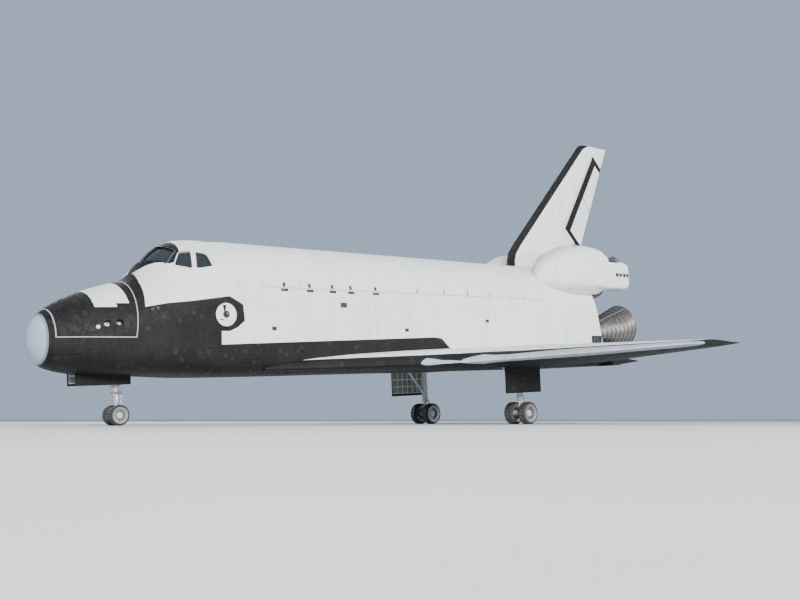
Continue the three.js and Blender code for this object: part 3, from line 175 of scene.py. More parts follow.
def make_level_place():
    """Where a point lies on the level craft, in inches, and which way its surface looks."""
    tree, _, result = new_group('level place', (), (
        ('Station', 'Float'), ('Across', 'Float'), ('Height', 'Float'), ('Point', 'Vector'),
        ('Ahead', 'Float'), ('Beside', 'Float'), ('Up', 'Float')))
    source = put(tree, 'ShaderNodeTexCoord').outputs
    unturn = Matrix.Rotation(NOSE_DOWN, 3, 'Y')
    shift = DATUM - (unturn @ PARKED_AT) / INCH
    point = put(tree, 'ShaderNodeMapping', {
        'Vector': source['Object'], 'Location': shift, 'Rotation': (0, NOSE_DOWN, 0),
        'Scale': (1 / INCH, 1 / INCH, 1 / INCH)}).outputs[0]
    parts = put(tree, 'ShaderNodeSeparateXYZ', {'Vector': point}).outputs
    facing = put(tree, 'ShaderNodeMapping', {'Vector': source['Normal'], 'Rotation': (0, NOSE_DOWN, 0)},
                 vector_type='VECTOR').outputs[0]
    looks = put(tree, 'ShaderNodeSeparateXYZ', {'Vector': facing}).outputs
    for slot, value in (('Station', parts[0]), ('Across', parts[1]), ('Height', parts[2]),
                        ('Point', point), ('Ahead', looks[0]), ('Beside', looks[1]), ('Up', looks[2])):
        feed(tree, value, result[slot])
    return tree


def make_tile_grid():
    """Square tiles laid on the side that the surface faces: joint lines and two tones per tile."""
    tree, given, result = new_group('tile grid', (('Size', 6.0), ('Joint', 0.1), ('Shift', 0.0)), (
        ('Joints', 'Float'), ('Tone', 'Float'), ('Second Tone', 'Float')))
    place = use(tree, LEVEL_PLACE)
    ahead = maths(tree, 'ABSOLUTE', place['Ahead'])
    beside = maths(tree, 'ABSOLUTE', place['Beside'])
    up = maths(tree, 'ABSOLUTE', place['Up'])
    from_above = maths(tree, 'GREATER_THAN', up, beside)
    from_front = maths(tree, 'GREATER_THAN', ahead, 0.72)
    along = fade(tree, from_front, place['Station'], place['Across'])
    level = fade(tree, from_above, place['Height'], place['Across'])
    level = fade(tree, from_front, level, place['Height'])
    edges = []
    cells = []
    for value in (along, level):
        tiles = maths(tree, 'DIVIDE', maths(tree, 'ADD', value, given['Shift']), given['Size'])
        cell = maths(tree, 'FLOOR', tiles)
        across = maths(tree, 'FRACT', tiles)
        near = maths(tree, 'MINIMUM', across, maths(tree, 'SUBTRACT', 1.0, across))
        edges.append(maths(tree, 'MULTIPLY', near, given['Size']))
        cells.append(cell)
    nearest = maths(tree, 'MINIMUM', edges[0], edges[1])
    joint = maths(tree, 'SUBTRACT', 1.0, maths(tree, 'DIVIDE', nearest, given['Joint']), clamp=True)
    seed = put(tree, 'ShaderNodeCombineXYZ', {'X': cells[0], 'Y': cells[1],
                                              'Z': maths(tree, 'ADD', from_above, from_front)}).outputs[0]
    noise = put(tree, 'ShaderNodeTexWhiteNoise', {'Vector': seed}, noise_dimensions='3D').outputs
    other = put(tree, 'ShaderNodeSeparateColor', {'Color': noise['Color']}).outputs
    feed(tree, joint, result['Joints'])
    feed(tree, other[0], result['Tone'])
    feed(tree, other[1], result['Second Tone'])
    return tree


def make_weather():
    """Rain streaks that run down the sides, broad stains, and fine grime."""
    tree, given, result = new_group('weather', (('Streak Width', 9.0),), (
        ('Streaks', 'Float'), ('Stains', 'Float'), ('Grime', 'Float')))
    place = use(tree, LEVEL_PLACE)
    run = put(tree, 'ShaderNodeMapping', {'Vector': place['Point'], 'Scale': (1.0, 1.0, 0.07)}).outputs[0]
    scale = maths(tree, 'DIVIDE', 1.0, given['Streak Width'])
    streaks = put(tree, 'ShaderNodeTexNoise', {'Vector': run, 'Scale': scale, 'Detail': 4.0,
                                               'Roughness': 0.62}).outputs['Fac']
    stains = put(tree, 'ShaderNodeTexNoise', {'Vector': place['Point'], 'Scale': 0.021, 'Detail': 5.0,
                                              'Roughness': 0.6}).outputs['Fac']
    grime = put(tree, 'ShaderNodeTexNoise', {'Vector': place['Point'], 'Scale': 0.3, 'Detail': 6.0,
                                             'Roughness': 0.68}).outputs['Fac']
    feed(tree, step(tree, streaks, 0.5, 0.78), result['Streaks'])
    feed(tree, step(tree, stains, 0.45, 0.75), result['Stains'])
    feed(tree, step(tree, grime, 0.42, 0.72), result['Grime'])
    return tree


def make_edge_wear_and_shade():
    """Rubbed high edges, and the hollows from how the surface bends: painted shade on metal and paint, pale
    dust on rubber.
    """
    tree, given, result = new_group('edge wear', (('Amount', 0.5),), (('Worn', 'Float'), ('Hollow Shade And Dirt', 'Float')))
    bend = put(tree, 'ShaderNodeNewGeometry').outputs['Pointiness']
    place = use(tree, LEVEL_PLACE)
    patchy = put(tree, 'ShaderNodeTexNoise', {'Vector': place['Point'], 'Scale': 0.6, 'Detail': 4.0}
                 ).outputs['Fac']
    worn = both(tree, step(tree, bend, 0.52, 0.6), step(tree, patchy, 0.42, 0.6), given['Amount'])
    # The hollows, where the surface bends in; metal and paint finishes darken them as painted shade.
    hollow_shade_and_dirt = both(tree, step(tree, bend, 0.49, 0.42), given['Amount'])
    feed(tree, worn, result['Worn'])
    feed(tree, hollow_shade_and_dirt, result['Hollow Shade And Dirt'])
    return tree


LEVEL_PLACE = make_level_place()
TILE_GRID = make_tile_grid()
WEATHER = make_weather()
EDGE_WEAR_AND_SHADE = make_edge_wear_and_shade()

WHITE = (0.84, 0.84, 0.825, 1)
WARM_STAIN = (0.50, 0.46, 0.40, 1)
GREY_STAIN = (0.52, 0.55, 0.57, 1)
BLACK = (0.0045, 0.0047, 0.0053, 1)
RUBBED_BLACK = (0.042, 0.041, 0.040, 1)
BROWN_SCUFF = (0.052, 0.038, 0.029, 1)
PALE_SPECK = (0.24, 0.24, 0.23, 1)
PALE_SEAL = (0.50, 0.48, 0.44, 1)


def make_white_blanket():
    """White tiles and quilted blankets: pale panels, thin joints, rain streaks and stains."""
    tree, given, result = new_group('white blanket', (
        ('Dirt', 1.0), ('Panel', 30.0), ('Joint Strength', 0.35)), (
        ('Colour', 'Color'), ('Roughness', 'Float'), ('Relief', 'Float')))
    panels = use(tree, TILE_GRID, Size=given['Panel'], Joint=0.35, Shift=2.0)
    tiles = use(tree, TILE_GRID, Size=6.0, Joint=0.12)
    weather = use(tree, WEATHER)
    colour = tint(tree, maths(tree, 'MULTIPLY', panels['Tone'], 0.10), WHITE, (0.66, 0.67, 0.67, 1))
    colour = tint(tree, maths(tree, 'MULTIPLY', tiles['Tone'], 0.07), colour, (0.60, 0.61, 0.60, 1))
    colour = tint(tree, both(tree, weather['Stains'], 0.30, given['Dirt']), colour, GREY_STAIN)
    colour = tint(tree, both(tree, weather['Streaks'], 0.42, given['Dirt']), colour, WARM_STAIN)
    colour = tint(tree, both(tree, weather['Grime'], 0.16, given['Dirt']), colour, (0.42, 0.40, 0.37, 1))
    colour = tint(tree, both(tree, panels['Joints'], given['Joint Strength']), colour, (0.34, 0.34, 0.33, 1))
    colour = tint(tree, both(tree, tiles['Joints'], 0.22), colour, (0.40, 0.40, 0.39, 1))
    rough = maths(tree, 'ADD', 0.62, both(tree, weather['Grime'], 0.16))
    relief = maths(tree, 'SUBTRACT', both(tree, tiles['Tone'], 0.25),
                   either(tree, panels['Joints'], both(tree, tiles['Joints'], 0.6)))
    feed(tree, colour, result['Colour'])
    feed(tree, rough, result['Roughness'])
    feed(tree, relief, result['Relief'])
    return tree


def make_black_tile():
    """Black glazed tiles, each with its own tone, rubbed and speckled, with pale joint lines."""
    tree, given, result = new_group('black tile', (('Scuffs', 0.4), ('Specks', 0.3), ('Size', 6.0)), (
        ('Colour', 'Color'), ('Roughness', 'Float'), ('Relief', 'Float')))
    tiles = use(tree, TILE_GRID, Size=given['Size'], Joint=0.13)
    weather = use(tree, WEATHER, **{'Streak Width': 5.0})
    place = use(tree, LEVEL_PLACE)
    colour = tint(tree, both(tree, tiles['Tone'], 0.55), BLACK, (0.0095, 0.0095, 0.0105, 1))
    odd = maths(tree, 'GREATER_THAN', tiles['Second Tone'], 0.972)
    colour = tint(tree, both(tree, odd, 0.35), colour, RUBBED_BLACK)
    colour = tint(tree, both(tree, weather['Stains'], given['Scuffs'], 0.45), colour, RUBBED_BLACK)
    rubs = put(tree, 'ShaderNodeTexNoise', {'Vector': place['Point'], 'Scale': 0.11, 'Detail': 6.0,
                                            'Roughness': 0.7}).outputs['Fac']
    colour = tint(tree, both(tree, step(tree, rubs, 0.52, 0.72), given['Scuffs'], 0.55), colour, BROWN_SCUFF)
    colour = tint(tree, both(tree, weather['Streaks'], given['Scuffs'], 0.25), colour, RUBBED_BLACK)
    specks = put(tree, 'ShaderNodeTexNoise', {'Vector': place['Point'], 'Scale': 1.3, 'Detail': 3.0}
                 ).outputs['Fac']
    colour = tint(tree, both(tree, step(tree, specks, 0.66, 0.74), given['Specks']), colour, PALE_SPECK)
    colour = tint(tree, both(tree, tiles['Joints'], 0.55), colour, (0.060, 0.059, 0.057, 1))
    rough = maths(tree, 'ADD', 0.5, maths(tree, 'ADD', both(tree, tiles['Tone'], 0.16),
                                           both(tree, weather['Grime'], 0.2)))
    relief = maths(tree, 'SUBTRACT', both(tree, tiles['Tone'], 0.25), tiles['Joints'])
    feed(tree, colour, result['Colour'])
    feed(tree, rough, result['Roughness'])
    feed(tree, relief, result['Relief'])
    return tree


WHITE_BLANKET = make_white_blanket()
BLACK_TILE = make_black_tile()


def new_finish(name, colour=None, **sockets):
    material = bpy.data.materials.new(name)
    material.use_nodes = True
    tree = material.node_tree
    tree.nodes.clear()
    shader = put(tree, 'ShaderNodeBsdfPrincipled', sockets)
    out = put(tree, 'ShaderNodeOutputMaterial')
    tree.links.new(shader.outputs[0], out.inputs[0])
    if colour is not None:
        feed(tree, colour, shader.inputs['Base Color'])
    return material, tree, shader


def raise_relief(tree, shader, height, distance, strength=0.6):
    bump = put(tree, 'ShaderNodeBump', {'Strength': strength, 'Distance': distance, 'Height': height})
    tree.links.new(bump.outputs[0], shader.inputs['Normal'])


def hull_finish(name, black_where, scuffs=0.4, specks=0.2, dirt=1.0, panel=30.0,
                seal_where=None, liner_where=None):
    """White blanket with black tile where the zone says so."""
    material, tree, shader = new_finish(name)
    shader.inputs['Specular IOR Level'].default_value = 0.2
    place = use(tree, LEVEL_PLACE)
    white = use(tree, WHITE_BLANKET, Dirt=dirt, Panel=panel)
    black = use(tree, BLACK_TILE, Scuffs=scuffs, Specks=specks)
    share = black_where(tree, place)
    colour = tint(tree, share, white['Colour'], black['Colour'])
    if seal_where:
        colour = tint(tree, both(tree, seal_where(tree, place), 0.8), colour, PALE_SEAL)
    if liner_where:
        quilt = use(tree, TILE_GRID, Size=18.0, Joint=0.5, Shift=4.0)
        lined = tint(tree, both(tree, quilt['Tone'], 0.3), (0.50, 0.52, 0.48, 1), (0.40, 0.42, 0.40, 1))
        lined = tint(tree, both(tree, quilt['Joints'], 0.6), lined, (0.22, 0.22, 0.21, 1))
        colour = tint(tree, liner_where(tree, place), colour, lined)
    feed(tree, colour, shader.inputs['Base Color'])
    feed(tree, fade(tree, share, white['Roughness'], black['Roughness']), shader.inputs['Roughness'])
    raise_relief(tree, shader, fade(tree, share, white['Relief'], black['Relief']), 0.003)
    return material


# Where the black tiles lie, each written as a zone over station, across and height

BELLY_EDGE = ((507, 326), (971, 339), (990, 337), (1012, 318), (1300, 310), (1440, 299), (1530, 294))
SIDE_PANEL_TOP = ((372, 380), (386, 384), (420, 390), (460, 394), (521, 402.5), (537, 394), (545, 390),
                  (548, 364), (549, 327.2), (971, 339))
HATCH_FOOT = ((504, 347), (520, 347), (534, 353), (548, 364), (552, 368))
WHITE_FRONT = ((376, 385), (400, 391), (425, 396), (450, 406))
BROW_EDGE = ((398, 0), (441, 58), (450, 62), (463, 52), (467, 36), (468, 0))
WING_LEAD = ((84, 560), (104, 605), (118, 693), (132, 781), (146, 868), (158, 932), (168, 973),
             (180, 1003), (196, 1028), (215, 1050), (312.5, 1148.5), (440, 1276), (468.3, 1318))
WING_EDGE_STRIP = ((84, 60), (148, 44), (180, 36), (215, 29), (300, 27), (440, 23), (468, 21))
FIN_LEAD = ((494, 1309), (518, 1309.5), (534, 1315), (552, 1330.5), (786, 1563.9), (808, 1586), (818.7, 1612))
RUDDER_BAND = ((600, 1509), (786, 1638), (820, 1662))
PLUG_STEPS = 6
MODULE_FOOT = ((240, 340.5), (400, 337.5))
MODULE_REAR = ((330, 369.1), (480, 386))


def side_of(tree, place):
    return maths(tree, 'ABSOLUTE', place['Across'])


def forward_black(tree, place):
    station, height = place['Station'], place['Height']
    white_front = line_through(tree, height, WHITE_FRONT)
    ahead_of_white = step(tree, maths(tree, 'SUBTRACT', station, white_front), 0.3, -0.3)
    panel_top = line_through(tree, station, SIDE_PANEL_TOP)
    below = step(tree, maths(tree, 'SUBTRACT', height, panel_top), 0.3, -0.3)
    foot = both(tree, step(tree, station, 505, 505.6), step(tree, station, 551, 550),
                step(tree, maths(tree, 'SUBTRACT', height,
                                 line_through(tree, station, HATCH_FOOT)), 0.3, -0.3),
                step(tree, maths(tree, 'SUBTRACT', height,
                                 line_through(tree, station, BELLY_EDGE)), -0.3, 0.3))
    brow = both(tree, step(tree, maths(tree, 'SUBTRACT', side_of(tree, place),
                                       line_through(tree, station, BROW_EDGE)), 0.3, -0.3),
                step(tree, station, 398, 398.5), step(tree, station, 468, 467.5),
                step(tree, height, 425, 426))
    return either(tree, ahead_of_white, without(tree, below, foot), brow)


def module_black(tree, place):
    tile = lambda value: maths(
        tree, 'MULTIPLY', maths(tree, 'FLOOR', maths(tree, 'DIVIDE', value, PLUG_STEPS)),
                               PLUG_STEPS)
    station, height = tile(place['Station']), tile(place['Height'])
    front_part = both(tree, step(tree, station, 315, 316), step(tree, height, 382, 383))
    rear_cut = both(tree, step(tree, station, 345, 346), step(tree, height, 388, 387))
    patch = both(tree, without(tree, front_part, rear_cut), step(tree, station, 364, 363))
    return maths(tree, 'SUBTRACT', 1.0, patch)


def module_outline(tree, place):
    """The pale seal around the thruster module, on both sides of its joint."""
    station, height = place['Station'], place['Height']
    ahead = maths(tree, 'SUBTRACT', 264, station)
    below = maths(tree, 'SUBTRACT', line_through(tree, station, MODULE_FOOT), height)
    behind = maths(tree, 'SUBTRACT', station, line_through(tree, height, MODULE_REAR))
    outside = maths(tree, 'MAXIMUM', maths(tree, 'MAXIMUM', ahead, below), behind)
    return step(tree, maths(tree, 'ABSOLUTE', outside), 0.85, 0.6)


LOAD_SPACE_FRONT = 581
LOAD_SPACE_REAR = 1307.8
LOAD_SPACE_AXIS = 400


def in_load_space(tree, place):
    """The round inner wall of the load space, its sills and its two end walls."""
    rise = maths(tree, 'POWER', maths(tree, 'SUBTRACT', place['Height'], LOAD_SPACE_AXIS), 2.0)
    reach = maths(tree, 'POWER', maths(
        tree, 'ADD', both(tree, place['Across'], place['Across']), rise), 0.5)
    middle = both(tree, step(tree, place['Station'], LOAD_SPACE_FRONT, LOAD_SPACE_FRONT + 0.4),
                  step(tree, place['Station'], LOAD_SPACE_REAR, LOAD_SPACE_REAR - 0.4))
    sill = both(tree, step(tree, place['Height'], 419.8, 419.9), step(tree, place['Height'], 421, 420.6))
    return both(tree, middle, either(tree, step(tree, reach, 94.5, 93.5), sill))


def inside_door(tree, place):
    """The side of a door that looks into the load space."""
    which_side = put(tree, 'ShaderNodeMath', {0: place['Across']}, operation='SIGN').outputs[0]
    inward = both(tree, place['Beside'], which_side)
    return step(tree, maths(tree, 'ADD', inward, place['Up']), -0.1, -0.2)


def body_black(tree, place):
    station, height = place['Station'], place['Height']
    below = step(tree, maths(tree, 'SUBTRACT', height, line_through(tree, station, BELLY_EDGE)), 0.3, -0.3)
    return below


def tail_black(tree, place):
    below = body_black(tree, place)
    base = step(tree, place['Ahead'], 0.8, 0.85)
    mark = both(tree, step(tree, place['Station'], 1462, 1463), step(tree, place['Station'], 1500, 1499),
                step(tree, place['Height'], 345, 344))
    return either(tree, below, base, mark)


def wing_black(tree, place):
    side = side_of(tree, place)
    under = step(tree, place['Up'], 0.05, -0.02)
    behind = maths(tree, 'SUBTRACT', place['Station'], line_through(tree, side, WING_LEAD))
    strip = step(tree, maths(tree, 'SUBTRACT', behind, line_through(tree, side, WING_EDGE_STRIP)), 0.5, -0.5)
    tip = step(tree, side, 457, 458)
    return either(tree, under, strip, tip)


def elevon_black(tree, place):
    under = step(tree, place['Up'], 0.05, -0.02)
    tip = step(tree, side_of(tree, place), 457, 458)
    return either(tree, under, tip)


def along_hinge(tree, place):
    """How far up the rudder's hinge line a point is, from the rudder's foot."""
    ahead = maths(tree, 'MULTIPLY', maths(tree, 'SUBTRACT', place['Station'], 1514.6), 0.570)
    above = maths(tree, 'MULTIPLY', maths(tree, 'SUBTRACT', place['Height'], 607), 0.821)
    return maths(tree, 'ADD', ahead, above)


def fin_black(tree, place):
    behind = maths(tree, 'SUBTRACT', place['Station'], line_through(tree, place['Height'], FIN_LEAD))
    stripe = step(tree, behind, 22.3, 21.7)
    hinge_post = step(tree, maths(tree, 'SUBTRACT', place['Station'],
                                  line_through(tree, place['Height'], RUDDER_BAND)), -2.3, -1.7)
    rise = along_hinge(tree, place)
    return either(tree, stripe, both(tree, hinge_post, step(tree, rise, -7, -6), step(tree, rise, 226, 225)))


# Station and height of a point on the slanting seam of a rudder panel
RUDDER_SEAM = (1604, 674)


def rudder_black(tree, place):
    station, height = place['Station'], place['Height']
    behind = maths(tree, 'SUBTRACT', station, line_through(tree, height, RUDDER_BAND))
    band = step(tree, behind, 24.3, 23.7)
    rise = along_hinge(tree, place)
    foot = step(tree, rise, 5.8, 5.2)
    head = step(tree, rise, 212.7, 213.3)
    # A dark seam slants across the panel where its lower part is split off.
    seam_station, seam_height = RUDDER_SEAM
    behind_seam = maths(tree, 'MULTIPLY', maths(tree, 'SUBTRACT', station, seam_station), 0.757)
    above_seam = maths(tree, 'MULTIPLY', maths(tree, 'SUBTRACT', height, seam_height), 0.653)
    slant = maths(tree, 'ABSOLUTE', maths(tree, 'ADD', behind_seam, above_seam))
    seam = step(tree, slant, 1.3, 0.8)
    trail = maths(tree, 'SUBTRACT', 1.0, step(tree, maths(tree, 'ABSOLUTE', place['Beside']), 0.3, 0.2))
    return either(tree, band, foot, head, both(tree, seam, trail))


def pod_black(tree, place):
    return both(tree, step(tree, place['Station'], 1503, 1504), step(tree, place['Station'], 1540, 1539),
                step(tree, place['Up'], 0.5, 0.55))


def hatch_black(tree, place):
    """A white disc with a black edge, and a black wedge down to its round window."""
    ahead = maths(tree, 'SUBTRACT', place['Station'], 514)
    above = maths(tree, 'SUBTRACT', place['Height'], 373)
    reach = maths(tree, 'SQRT', maths(tree, 'ADD', both(tree, ahead, ahead), both(tree, above, above)))
    edge = step(tree, reach, 18.2, 18.6)
    half = maths(tree, 'MULTIPLY', above, 0.22)
    wedge = both(tree, step(tree, maths(tree, 'SUBTRACT', maths(tree, 'ABSOLUTE', maths(
        tree, 'ADD', ahead, 3)), half), 0.2, -0.2), step(tree, above, 3, 3.5), step(tree, above, 15.3, 15))
    return either(tree, edge, wedge)


def nothing_black(tree, place):
    return step(tree, place['Height'], -900, -901)


def everything_black(tree, place):
    return step(tree, place['Height'], -901, -900)


FORWARD_FINISH = hull_finish('forward tiles', forward_black, scuffs=0.5, specks=0.35,
                             seal_where=module_outline, liner_where=in_load_space)
HATCH_FINISH = hull_finish('side hatch panel', hatch_black, dirt=0.8)
MODULE_FINISH = hull_finish('nose thruster module tiles', module_black, scuffs=0.6, specks=0.15,
                            seal_where=module_outline)
BODY_FINISH = hull_finish('body side panels', body_black, scuffs=0.4, liner_where=in_load_space)
DOOR_FINISH = hull_finish('load space door panels', nothing_black, liner_where=inside_door)
TAIL_FINISH = hull_finish('tail body panels', tail_black, liner_where=in_load_space)
WING_FINISH = hull_finish('wing skin', wing_black, scuffs=0.45)
ELEVON_FINISH = hull_finish('elevon skin', elevon_black)
FIN_FINISH = hull_finish('fin panels', fin_black)
RUDDER_FINISH = hull_finish('rudder panels', rudder_black)
POD_FINISH = hull_finish('tail pod blanket', pod_black)
BLACK_FINISH = hull_finish('black tiles all over', everything_black, scuffs=0.35)


def edge_grey_finish():
    """Moulded grey shells with a seam between neighbours."""
    material, tree, shader = new_finish('grey moulded edge')
    place = use(tree, LEVEL_PLACE)
    weather = use(tree, WEATHER, **{'Streak Width': 4.0})
    side = side_of(tree, place)
    along = maths(tree, 'ADD', maths(tree, 'MULTIPLY', place['Station'], 0.72),
                  maths(tree, 'MULTIPLY', side, 0.7))
    share = maths(tree, 'DIVIDE', along, 22.0)
    seam = maths(tree, 'FRACT', share)
    line = maths(tree, 'SUBTRACT', 1.0, maths(tree, 'DIVIDE', maths(tree, 'MINIMUM', seam, maths(
        tree, 'SUBTRACT', 1.0, seam)), 0.016), clamp=True)
    shell = put(tree, 'ShaderNodeTexWhiteNoise', {'W': maths(tree, 'FLOOR', share)}, noise_dimensions='1D'
                ).outputs['Value']
    colour = tint(tree, both(tree, shell, 0.5), (0.32, 0.36, 0.41, 1), (0.42, 0.46, 0.51, 1))
    colour = tint(tree, both(tree, weather['Streaks'], 0.35), colour, (0.20, 0.20, 0.20, 1))
    colour = tint(tree, both(tree, weather['Stains'], 0.25), colour, (0.55, 0.58, 0.62, 1))
    colour = tint(tree, both(tree, line, 0.7), colour, (0.08, 0.08, 0.085, 1))
    feed(tree, colour, shader.inputs['Base Color'])
    feed(tree, maths(tree, 'ADD', 0.42, both(tree, weather['Grime'], 0.25)), shader.inputs['Roughness'])
    raise_relief(tree, shader, maths(tree, 'SUBTRACT', 0.0, line), 0.004)
    return material


def nose_cap_finish():
    material, tree, shader = new_finish('grey nose shell')
    place = use(tree, LEVEL_PLACE)
    weather = use(tree, WEATHER, **{'Streak Width': 3.0})
    colour = tint(tree, weather['Stains'], (0.36, 0.45, 0.56, 1), (0.45, 0.54, 0.64, 1))
    colour = tint(tree, both(tree, weather['Streaks'], 0.3), colour, (0.26, 0.29, 0.33, 1))
    rim = step(tree, place['Station'], 253.0, 254.5)
    colour = tint(tree, both(tree, rim, 0.7), colour, (0.1, 0.11, 0.12, 1))
    feed(tree, colour, shader.inputs['Base Color'])
    feed(tree, maths(tree, 'ADD', 0.36, both(tree, weather['Grime'], 0.22)), shader.inputs['Roughness'])
    raise_relief(tree, shader, weather['Grime'], 0.001, 0.3)
    return material


def glass_finish():
    material, tree, shader = new_finish('dark window glass', Metallic=0.0, IOR=1.5)
    shader.inputs['Transmission Weight'].default_value = 0.55
    weather = use(tree, WEATHER, **{'Streak Width': 1.5})
    colour = tint(tree, weather['Grime'], (0.035, 0.045, 0.055, 1), (0.06, 0.07, 0.08, 1))
    feed(tree, colour, shader.inputs['Base Color'])
    feed(tree, maths(tree, 'ADD', 0.04, both(tree, weather['Streaks'], 0.12)), shader.inputs['Roughness'])
    return material


def metal_finish(name, bright, dark, rough, metallic=0.9, brush=30.0):
    """Bare or plated metal with turning marks, heat tint and painted shade in the corners."""
    material, tree, shader = new_finish(name, Metallic=metallic)
    place = use(tree, LEVEL_PLACE)
    wear_and_shade = use(tree, EDGE_WEAR_AND_SHADE, Amount=0.7)
    marks = put(tree, 'ShaderNodeMapping', {'Vector': place['Point'], 'Scale': (2.2, 0.12, 0.12)}).outputs[0]
    lines = put(tree, 'ShaderNodeTexNoise', {
        'Vector': marks, 'Scale': brush / 20, 'Detail': 5.0}).outputs['Fac']
    patch = put(tree, 'ShaderNodeTexNoise', {
        'Vector': place['Point'], 'Scale': 0.16, 'Detail': 4.0}).outputs['Fac']
    colour = tint(tree, step(tree, lines, 0.35, 0.68), dark, bright)
    colour = tint(tree, both(tree, step(tree, patch, 0.5, 0.72), 0.5), colour, dark)
    # Painted shade: the hollows are darkened nearly to black.
    colour = tint(tree, wear_and_shade['Hollow Shade And Dirt'], colour, (0.03, 0.027, 0.024, 1))
    colour = tint(tree, wear_and_shade['Worn'], colour, bright)
    feed(tree, colour, shader.inputs['Base Color'])
    rough = maths(tree, 'ADD', rough, both(tree, step(tree, patch, 0.4, 0.7), 0.22))
    feed(tree, rough, shader.inputs['Roughness'])
    raise_relief(tree, shader, lines, 0.0008, 0.35)
    return material


def painted_finish(name, paint, chipped, rough=0.4):
    """Gloss paint with chips on its edges and painted shade in the hollows round what is fixed to it."""
    material, tree, shader = new_finish(name)
    weather = use(tree, WEATHER, **{'Streak Width': 2.0})
    wear_and_shade = use(tree, EDGE_WEAR_AND_SHADE, Amount=0.8)
    dull = tuple(0.72 * part for part in paint[:3]) + (1,)
    colour = tint(tree, both(tree, weather['Grime'], 0.3), paint, dull)
    colour = tint(tree, both(tree, weather['Streaks'], 0.35), colour, (0.30, 0.26, 0.21, 1))
    # Painted shade: the hollows are darkened.
    colour = tint(tree, wear_and_shade['Hollow Shade And Dirt'], colour, (0.10, 0.09, 0.08, 1))
    colour = tint(tree, wear_and_shade['Worn'], colour, chipped)
    feed(tree, colour, shader.inputs['Base Color'])
    feed(tree, maths(tree, 'ADD', rough, both(tree, weather['Grime'], 0.25)), shader.inputs['Roughness'])
    raise_relief(tree, shader, weather['Grime'], 0.0006, 0.35)
    return material


def rubber_finish():
    material, tree, shader = new_finish('tyre rubber')
    place = use(tree, LEVEL_PLACE)
    weather = use(tree, WEATHER, **{'Streak Width': 2.0})
    wear_and_shade = use(tree, EDGE_WEAR_AND_SHADE, Amount=0.8)
    colour = tint(tree, both(tree, weather['Grime'], 0.8), (0.020, 0.020, 0.021, 1), (0.048, 0.045, 0.042, 1))
    colour = tint(tree, wear_and_shade['Worn'], colour, (0.075, 0.072, 0.068, 1))
    colour = tint(tree, wear_and_shade['Hollow Shade And Dirt'], colour, (0.09, 0.08, 0.07, 1))
    pores = put(tree, 'ShaderNodeTexNoise', {
        'Vector': place['Point'], 'Scale': 3.0, 'Detail': 6.0}).outputs['Fac']
    feed(tree, colour, shader.inputs['Base Color'])
    feed(tree, maths(tree, 'ADD', 0.72, both(tree, pores, 0.2)), shader.inputs['Roughness'])
    raise_relief(tree, shader, pores, 0.0006, 0.5)
    return material


NOSE_CAP_FINISH = nose_cap_finish()
EDGE_FINISH = edge_grey_finish()
GLASS_FINISH = glass_finish()
BELL_FINISH = metal_finish('engine bell metal', (0.34, 0.31, 0.29, 1), (0.13, 0.115, 0.105, 1), 0.34)
GEAR_FINISH = painted_finish('landing gear paint', (0.62, 0.64, 0.64, 1), (0.30, 0.30, 0.30, 1))
CABIN_FINISH = painted_finish('cabin grey paint', (0.30, 0.33, 0.34, 1), (0.2, 0.2, 0.2, 1), 0.5)
PANEL_FINISH = painted_finish('cabin panel paint', (0.11, 0.12, 0.13, 1), (0.24, 0.24, 0.24, 1), 0.45)
SEAT_FINISH = painted_finish('seat cover', (0.10, 0.13, 0.19, 1), (0.16, 0.18, 0.22, 1), 0.75)
RUBBER_FINISH = rubber_finish()

NODE_FINISHES = {
    'nose_cap': NOSE_CAP_FINISH, 'forward_body': FORWARD_FINISH, 'nose_thruster_module': MODULE_FINISH,
    'windscreen_glass': GLASS_FINISH, 'overhead_glass': GLASS_FINISH, 'bay_view_glass': GLASS_FINISH,
    'flight_deck_floor': CABIN_FINISH, 'mid_deck_floor': CABIN_FINISH, 'dashboard': PANEL_FINISH,
    'seat_left': SEAT_FINISH, 'seat_right': SEAT_FINISH, 'side_hatch': HATCH_FINISH, 'mid_body': BODY_FINISH,
    'bay_door_right': DOOR_FINISH, 'bay_door_left': DOOR_FINISH,
    'tail_body': TAIL_FINISH, 'body_flap': BLACK_FINISH,
    'wing_right': WING_FINISH, 'wing_left': WING_FINISH,
    'wing_leading_edge_right': EDGE_FINISH, 'wing_leading_edge_left': EDGE_FINISH,
    'elevon_inner_right': ELEVON_FINISH, 'elevon_inner_left': ELEVON_FINISH,
    'elevon_outer_right': ELEVON_FINISH, 'elevon_outer_left': ELEVON_FINISH,
    'fin': FIN_FINISH, 'rudder_shaft': GEAR_FINISH, 'rudder_panel_right': RUDDER_FINISH,
    'rudder_panel_left': RUDDER_FINISH, 'tail_pod_right': POD_FINISH, 'tail_pod_left': POD_FINISH,
    'pod_engine_right': BELL_FINISH, 'pod_engine_left': BELL_FINISH, 'main_engine_upper': BELL_FINISH,
    'main_engine_left': BELL_FINISH, 'main_engine_right': BELL_FINISH,
    'nose_gear_leg': GEAR_FINISH, 'nose_gear_steering': GEAR_FINISH, 'nose_wheels': RUBBER_FINISH,
    'main_gear_leg_right': GEAR_FINISH, 'main_gear_leg_left': GEAR_FINISH,
    'main_wheels_right': RUBBER_FINISH, 'main_wheels_left': RUBBER_FINISH,
    'nose_gear_door_right': BODY_FINISH, 'nose_gear_door_left': BODY_FINISH,
    'main_gear_door_right': BODY_FINISH, 'main_gear_door_left': BODY_FINISH,
}


def dress(piece, finish):
    piece.data.materials.clear()
    piece.data.materials.append(finish)


for node_name, node in frame['nodes'].items():
    dress(node, NODE_FINISHES[node_name])


# Smoothed copies stand for the faceted curved parts

